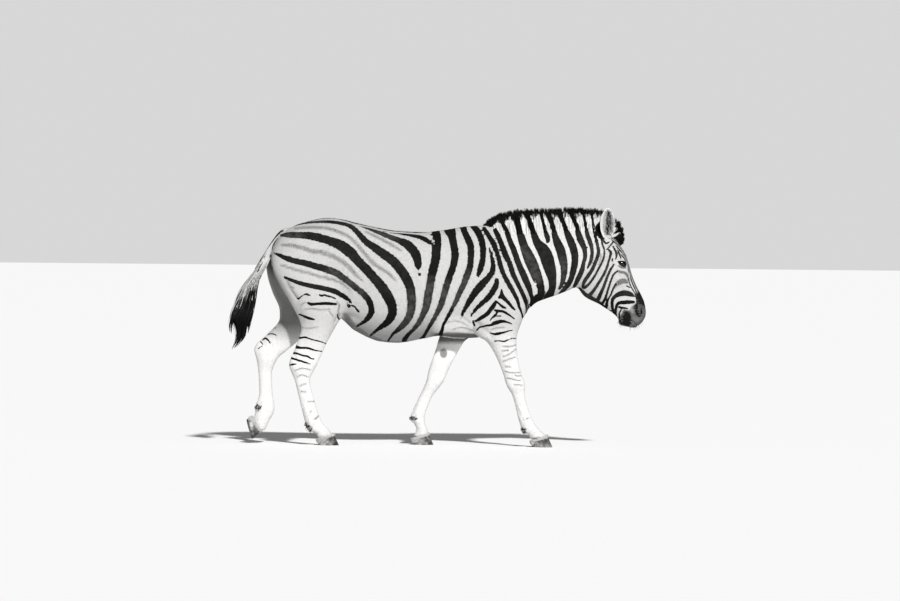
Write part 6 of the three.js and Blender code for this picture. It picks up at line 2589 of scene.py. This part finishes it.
def random_in(tree, low, high, seed, kind):
    slots, output = ((0, 1), 0) if kind == "FLOAT_VECTOR" else ((2, 3), 1)
    inputs = {slots[0]: low, slots[1]: high, "Seed": seed}
    return add(tree, "FunctionNodeRandomValue", inputs, data_type=kind).outputs[output]


def kept(tree, geometry, name, value, kind="FLOAT", domain="POINT"):
    """The geometry with a value stored on it under a name."""
    inputs = {"Geometry": geometry, "Name": name, "Value": value}
    node = add(tree, "GeometryNodeStoreNamedAttribute", inputs, data_type=kind, domain=domain)
    return node.outputs["Geometry"]


def tuft_tree():
    inputs = [
        ("Skin", "Object", None),
        ("Tuft", "Object", None),
        ("Density Name", "String", "tufts"),
        ("Length", "Float", 0.012),
        ("Width", "Float", 0.003),
        ("Patch", "Float", TUFT_PATCH),
        ("Seed", "Int", RNG_SEED),
        ("Finish", "Material", None),
    ]
    tree, start, end = new_tree("lay_tufts", inputs)
    vector = "FLOAT_VECTOR"
    sources = [add(tree, "GeometryNodeObjectInfo", {"Object": start[name]}) for name in ("Skin", "Tuft")]
    body, shape = [source.outputs["Geometry"] for source in sources]
    # Roots, each of which remembers its place on the unwrap.
    density = named(tree, start["Density Name"])
    places = {"Mesh": body, "Density": density, "Seed": start["Seed"]}
    scatter = add(tree, "GeometryNodeDistributePointsOnFaces", places, distribute_method="RANDOM").outputs
    roots = kept(tree, scatter["Points"], "root", named(tree, UNWRAP, vector), vector)
    bare = {"Geometry": roots, "Name": UNWRAP}
    roots = add(tree, "GeometryNodeRemoveAttribute", bare).outputs["Geometry"]
    # Each tuft lies along the hair, with a small random turn and a random size.
    axes_of = {"Primary Axis": named(tree, "lie", vector), "Secondary Axis": scatter["Normal"]}
    turn = add(tree, "FunctionNodeAxesToRotation", axes_of, primary_axis="X", secondary_axis="Z")
    euler = {"Euler": random_in(tree, TURN_LOW, TURN_HIGH, 3, vector)}
    jitter = add(tree, "FunctionNodeEulerToRotation", euler)
    turns = {"Rotation": turn.outputs["Rotation"], "Rotate By": jitter.outputs["Rotation"]}
    turned = add(tree, "FunctionNodeRotateRotation", turns, rotation_space="LOCAL")
    sizes = []
    for name, share, seed in (("Length", LONG_SHARE, 5), ("Width", WIDE_SHARE, 6)):
        size = maths(tree, "MULTIPLY", start[name], random_in(tree, *share, seed, "FLOAT"))
        sizes.append(maths(tree, "MULTIPLY", size, named(tree, "tuft_size")))
    size = add(tree, "ShaderNodeCombineXYZ", {0: sizes[0], 1: sizes[1], 2: sizes[1]})
    planted = {
        "Points": roots,
        "Instance": shape,
        "Rotation": turned.outputs["Rotation"],
        "Scale": size.outputs["Vector"],
    }
    plant = add(tree, "GeometryNodeInstanceOnPoints", planted).outputs["Instances"]
    last = add(tree, "GeometryNodeRealizeInstances", {"Geometry": plant}).outputs["Geometry"]
    # Every corner reads the marks of the skin beneath it.
    for mark in MARKS:
        read = {"Mesh": body, "Value": named(tree, mark)}
        sample = add(tree, "GeometryNodeSampleNearestSurface", read, data_type="FLOAT")
        last = kept(tree, last, mark, sample.outputs["Value"])
    # A tuft's own unwrap is a small patch round its root.
    patch = {0: named(tree, "patch", vector), "Scale": start["Patch"]}
    moved = add(tree, "ShaderNodeVectorMath", patch, operation="SCALE").outputs["Vector"]
    spot = {0: named(tree, "root", vector), 1: moved}
    place = add(tree, "ShaderNodeVectorMath", spot, operation="ADD").outputs["Vector"]
    last = kept(tree, last, UNWRAP, place, "FLOAT2", "CORNER")
    finish = add(tree, "GeometryNodeSetMaterial", {"Geometry": last, "Material": start["Finish"]})
    plug(tree, end["Geometry"], finish.outputs["Geometry"])
    return tree


LAY_TUFTS = tuft_tree()
print("tree", LAY_TUFTS.name, len(LAY_TUFTS.nodes), "nodes")

# %% How dense and how long the tufts are
PLAIN_DENSITY = 3600.0  # tufts on a square metre, and how many more there are in four places
EDGE_MORE, FETLOCK_MORE, LEG_MORE, HEAD_MORE = 5200, 14000, 4200, 9000
FETLOCK_FROM, FETLOCK_TO, LEG_TO = 60, 260, 700  # heights
QUARTERS_FROM = -420  # the barrel's tufts end here and those of the quarters begin
TUFT_LENGTH, TUFT_WIDTH = 0.011, 0.0026
EYE_CLEAR, EYE_FAR = 1.5, 9.0  # rim levels round the eye: bare up to here, and a level far from it


def on_part(name):
    return is_part(skin_part, name)


x, _, z = skin_points.T
rear_of_leg = is_leg & (skin_normals[:, 0] < -0.2)
density = np.full(len(skin_points), PLAIN_DENSITY)
density += EDGE_MORE * (np.abs(skin_normals[:, 1]) < 0.35)
density += FETLOCK_MORE * (rear_of_leg & (z < FETLOCK_TO))
density += LEG_MORE * is_leg * (z < LEG_TO)
density += HEAD_MORE * on_part("head")
size = np.ones(len(skin_points))
size -= 0.25 * is_leg + 0.45 * on_part("head") * ramp(own_place[:, 0], 0, 200) + 0.15 * on_part("head")
size += 0.5 * (rear_of_leg & (z < FETLOCK_TO) & (z > FETLOCK_FROM))
density *= 1 - 0.75 * (ramp(skin_marks["muzzle"], 0.3, 0.8) * on_part("head"))
eye_gap = np.full(len(skin_points), EYE_FAR)
eye_gap[face_index] = np.where(beside, rim_level, EYE_FAR)
density *= eye_gap > EYE_CLEAR
store(skin_mesh, "tuft_size", size)
COAT_PIECES = {
    "coat_barrel": on_part("trunk") & (x > QUARTERS_FROM),
    "coat_quarters": on_part("trunk") & (x <= QUARTERS_FROM) | on_part("dock"),
    "coat_neck": on_part("neck"),
    "coat_head": on_part("head"),
    "coat_forelegs": on_part("fore_right") | on_part("fore_left"),
    "coat_hindlegs": on_part("hind_right") | on_part("hind_left"),
}
coat_pieces = []
for order, (name, here) in enumerate(COAT_PIECES.items()):
    store(skin_mesh, "tufts_" + name, density * here)
    values = {
        "Skin": skin,
        "Tuft": tuft,
        "Density Name": "tufts_" + name,
        "Length": TUFT_LENGTH,
        "Width": TUFT_WIDTH,
        "Patch": TUFT_PATCH,
        "Seed": RNG_SEED + order,
        "Finish": TUFT_COAT,
    }
    coat_pieces.append(grown(name, bpy.data.meshes.new(name + "_base"), LAY_TUFTS, values))
    print(name, len(coat_pieces[-1].data.polygons), "faces")
bpy.data.objects.remove(tuft)
for name in COAT_PIECES:
    skin_mesh.attributes.remove(skin_mesh.attributes["tufts_" + name])

# %% Ears join the skin
with bpy.context.temp_override(active_object=skin, selected_editable_objects=[skin, *ears]):
    bpy.ops.object.join()
print("skin with ears", len(skin.data.polygons))

# %% [markdown]
# ## Floor and light
# The floor is pale and plain and runs on to a level horizon. A low soft lamp stands behind the viewer's right
# shoulder, and the grey surround fills the shadows.

# %% Floor
FLOOR_HALF = 1500.0


def floor_inputs(tree):
    return {"Base Color": (0.94, 0.94, 0.94, 1), "Roughness": 0.9, "Specular IOR Level": 0.1}


def floor_object():
    corners = np.array([(-1, -1, 0), (1, -1, 0), (1, 1, 0), (-1, 1, 0)]) * FLOOR_HALF
    material = finish_of("pale_floor", floor_inputs)
    return mesh_object("floor", corners, [(0, 1, 2, 3)], material, smooth=False)


floor = floor_object()
camera_data.clip_end = 2 * FLOOR_HALF
print("floor", floor.name)

# %% Light
BACKDROP = 0.68  # how bright the surround looks
FILL = 0.19  # how much it lights
LAMP_STRENGTH = 4.9
LAMP_SPREAD = math.radians(3.5)
LAMP_TOWARD = Vector((0.25, -1.0, 0.66))

world = bpy.data.worlds.new("surround")
world.use_nodes = True
world_tree = world.node_tree
background = world_tree.nodes["Background"]
sight = add(world_tree, "ShaderNodeLightPath").outputs["Is Camera Ray"]
strength = maths(world_tree, "ADD", maths(world_tree, "MULTIPLY", sight, BACKDROP - FILL), FILL)
world_tree.links.new(strength, background.inputs["Strength"])
background.inputs["Color"].default_value = (1, 1, 1, 1)
scene.world = world
lamp_data = bpy.data.lights.new("lamp", "SUN")
lamp_data.energy = LAMP_STRENGTH
lamp_data.angle = LAMP_SPREAD
lamp = bpy.data.objects.new("lamp", lamp_data)
lamp.rotation_euler = LAMP_TOWARD.to_track_quat("Z", "Y").to_euler()
scene.collection.objects.link(lamp)
scene.view_settings.view_transform = "Standard"
print("lamp", LAMP_STRENGTH, "fill", FILL)

# %% [markdown]
# ## Putting it into the frame
# Every piece rides on the one body of a still model, and the solids that a piece stands for are hidden.

# %% Rides and replacements
def settle_piece(piece, nodes):
    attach(piece, "root")
    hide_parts(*nodes)


SKIN_NODES = [
    "trunk", "neck", "head", "ear_left", "ear_right", "tail_dock",
    "fore_leg_left", "fore_leg_right", "hind_leg_left", "hind_leg_right",
]
settle_piece(skin, SKIN_NODES)
for piece in coat_pieces:
    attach(piece, "root")
settle_piece(mane, ["mane"])
settle_piece(forelock, ["forelock"])
settle_piece(tail, ["tail_switch"])
for piece in hair_pieces:
    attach(piece, "root")
for eye, node in zip(eyes, ("eye_right", "eye_left")):
    settle_piece(eye, [node])
for node, hoof in hooves.items():
    settle_piece(hoof, [node])
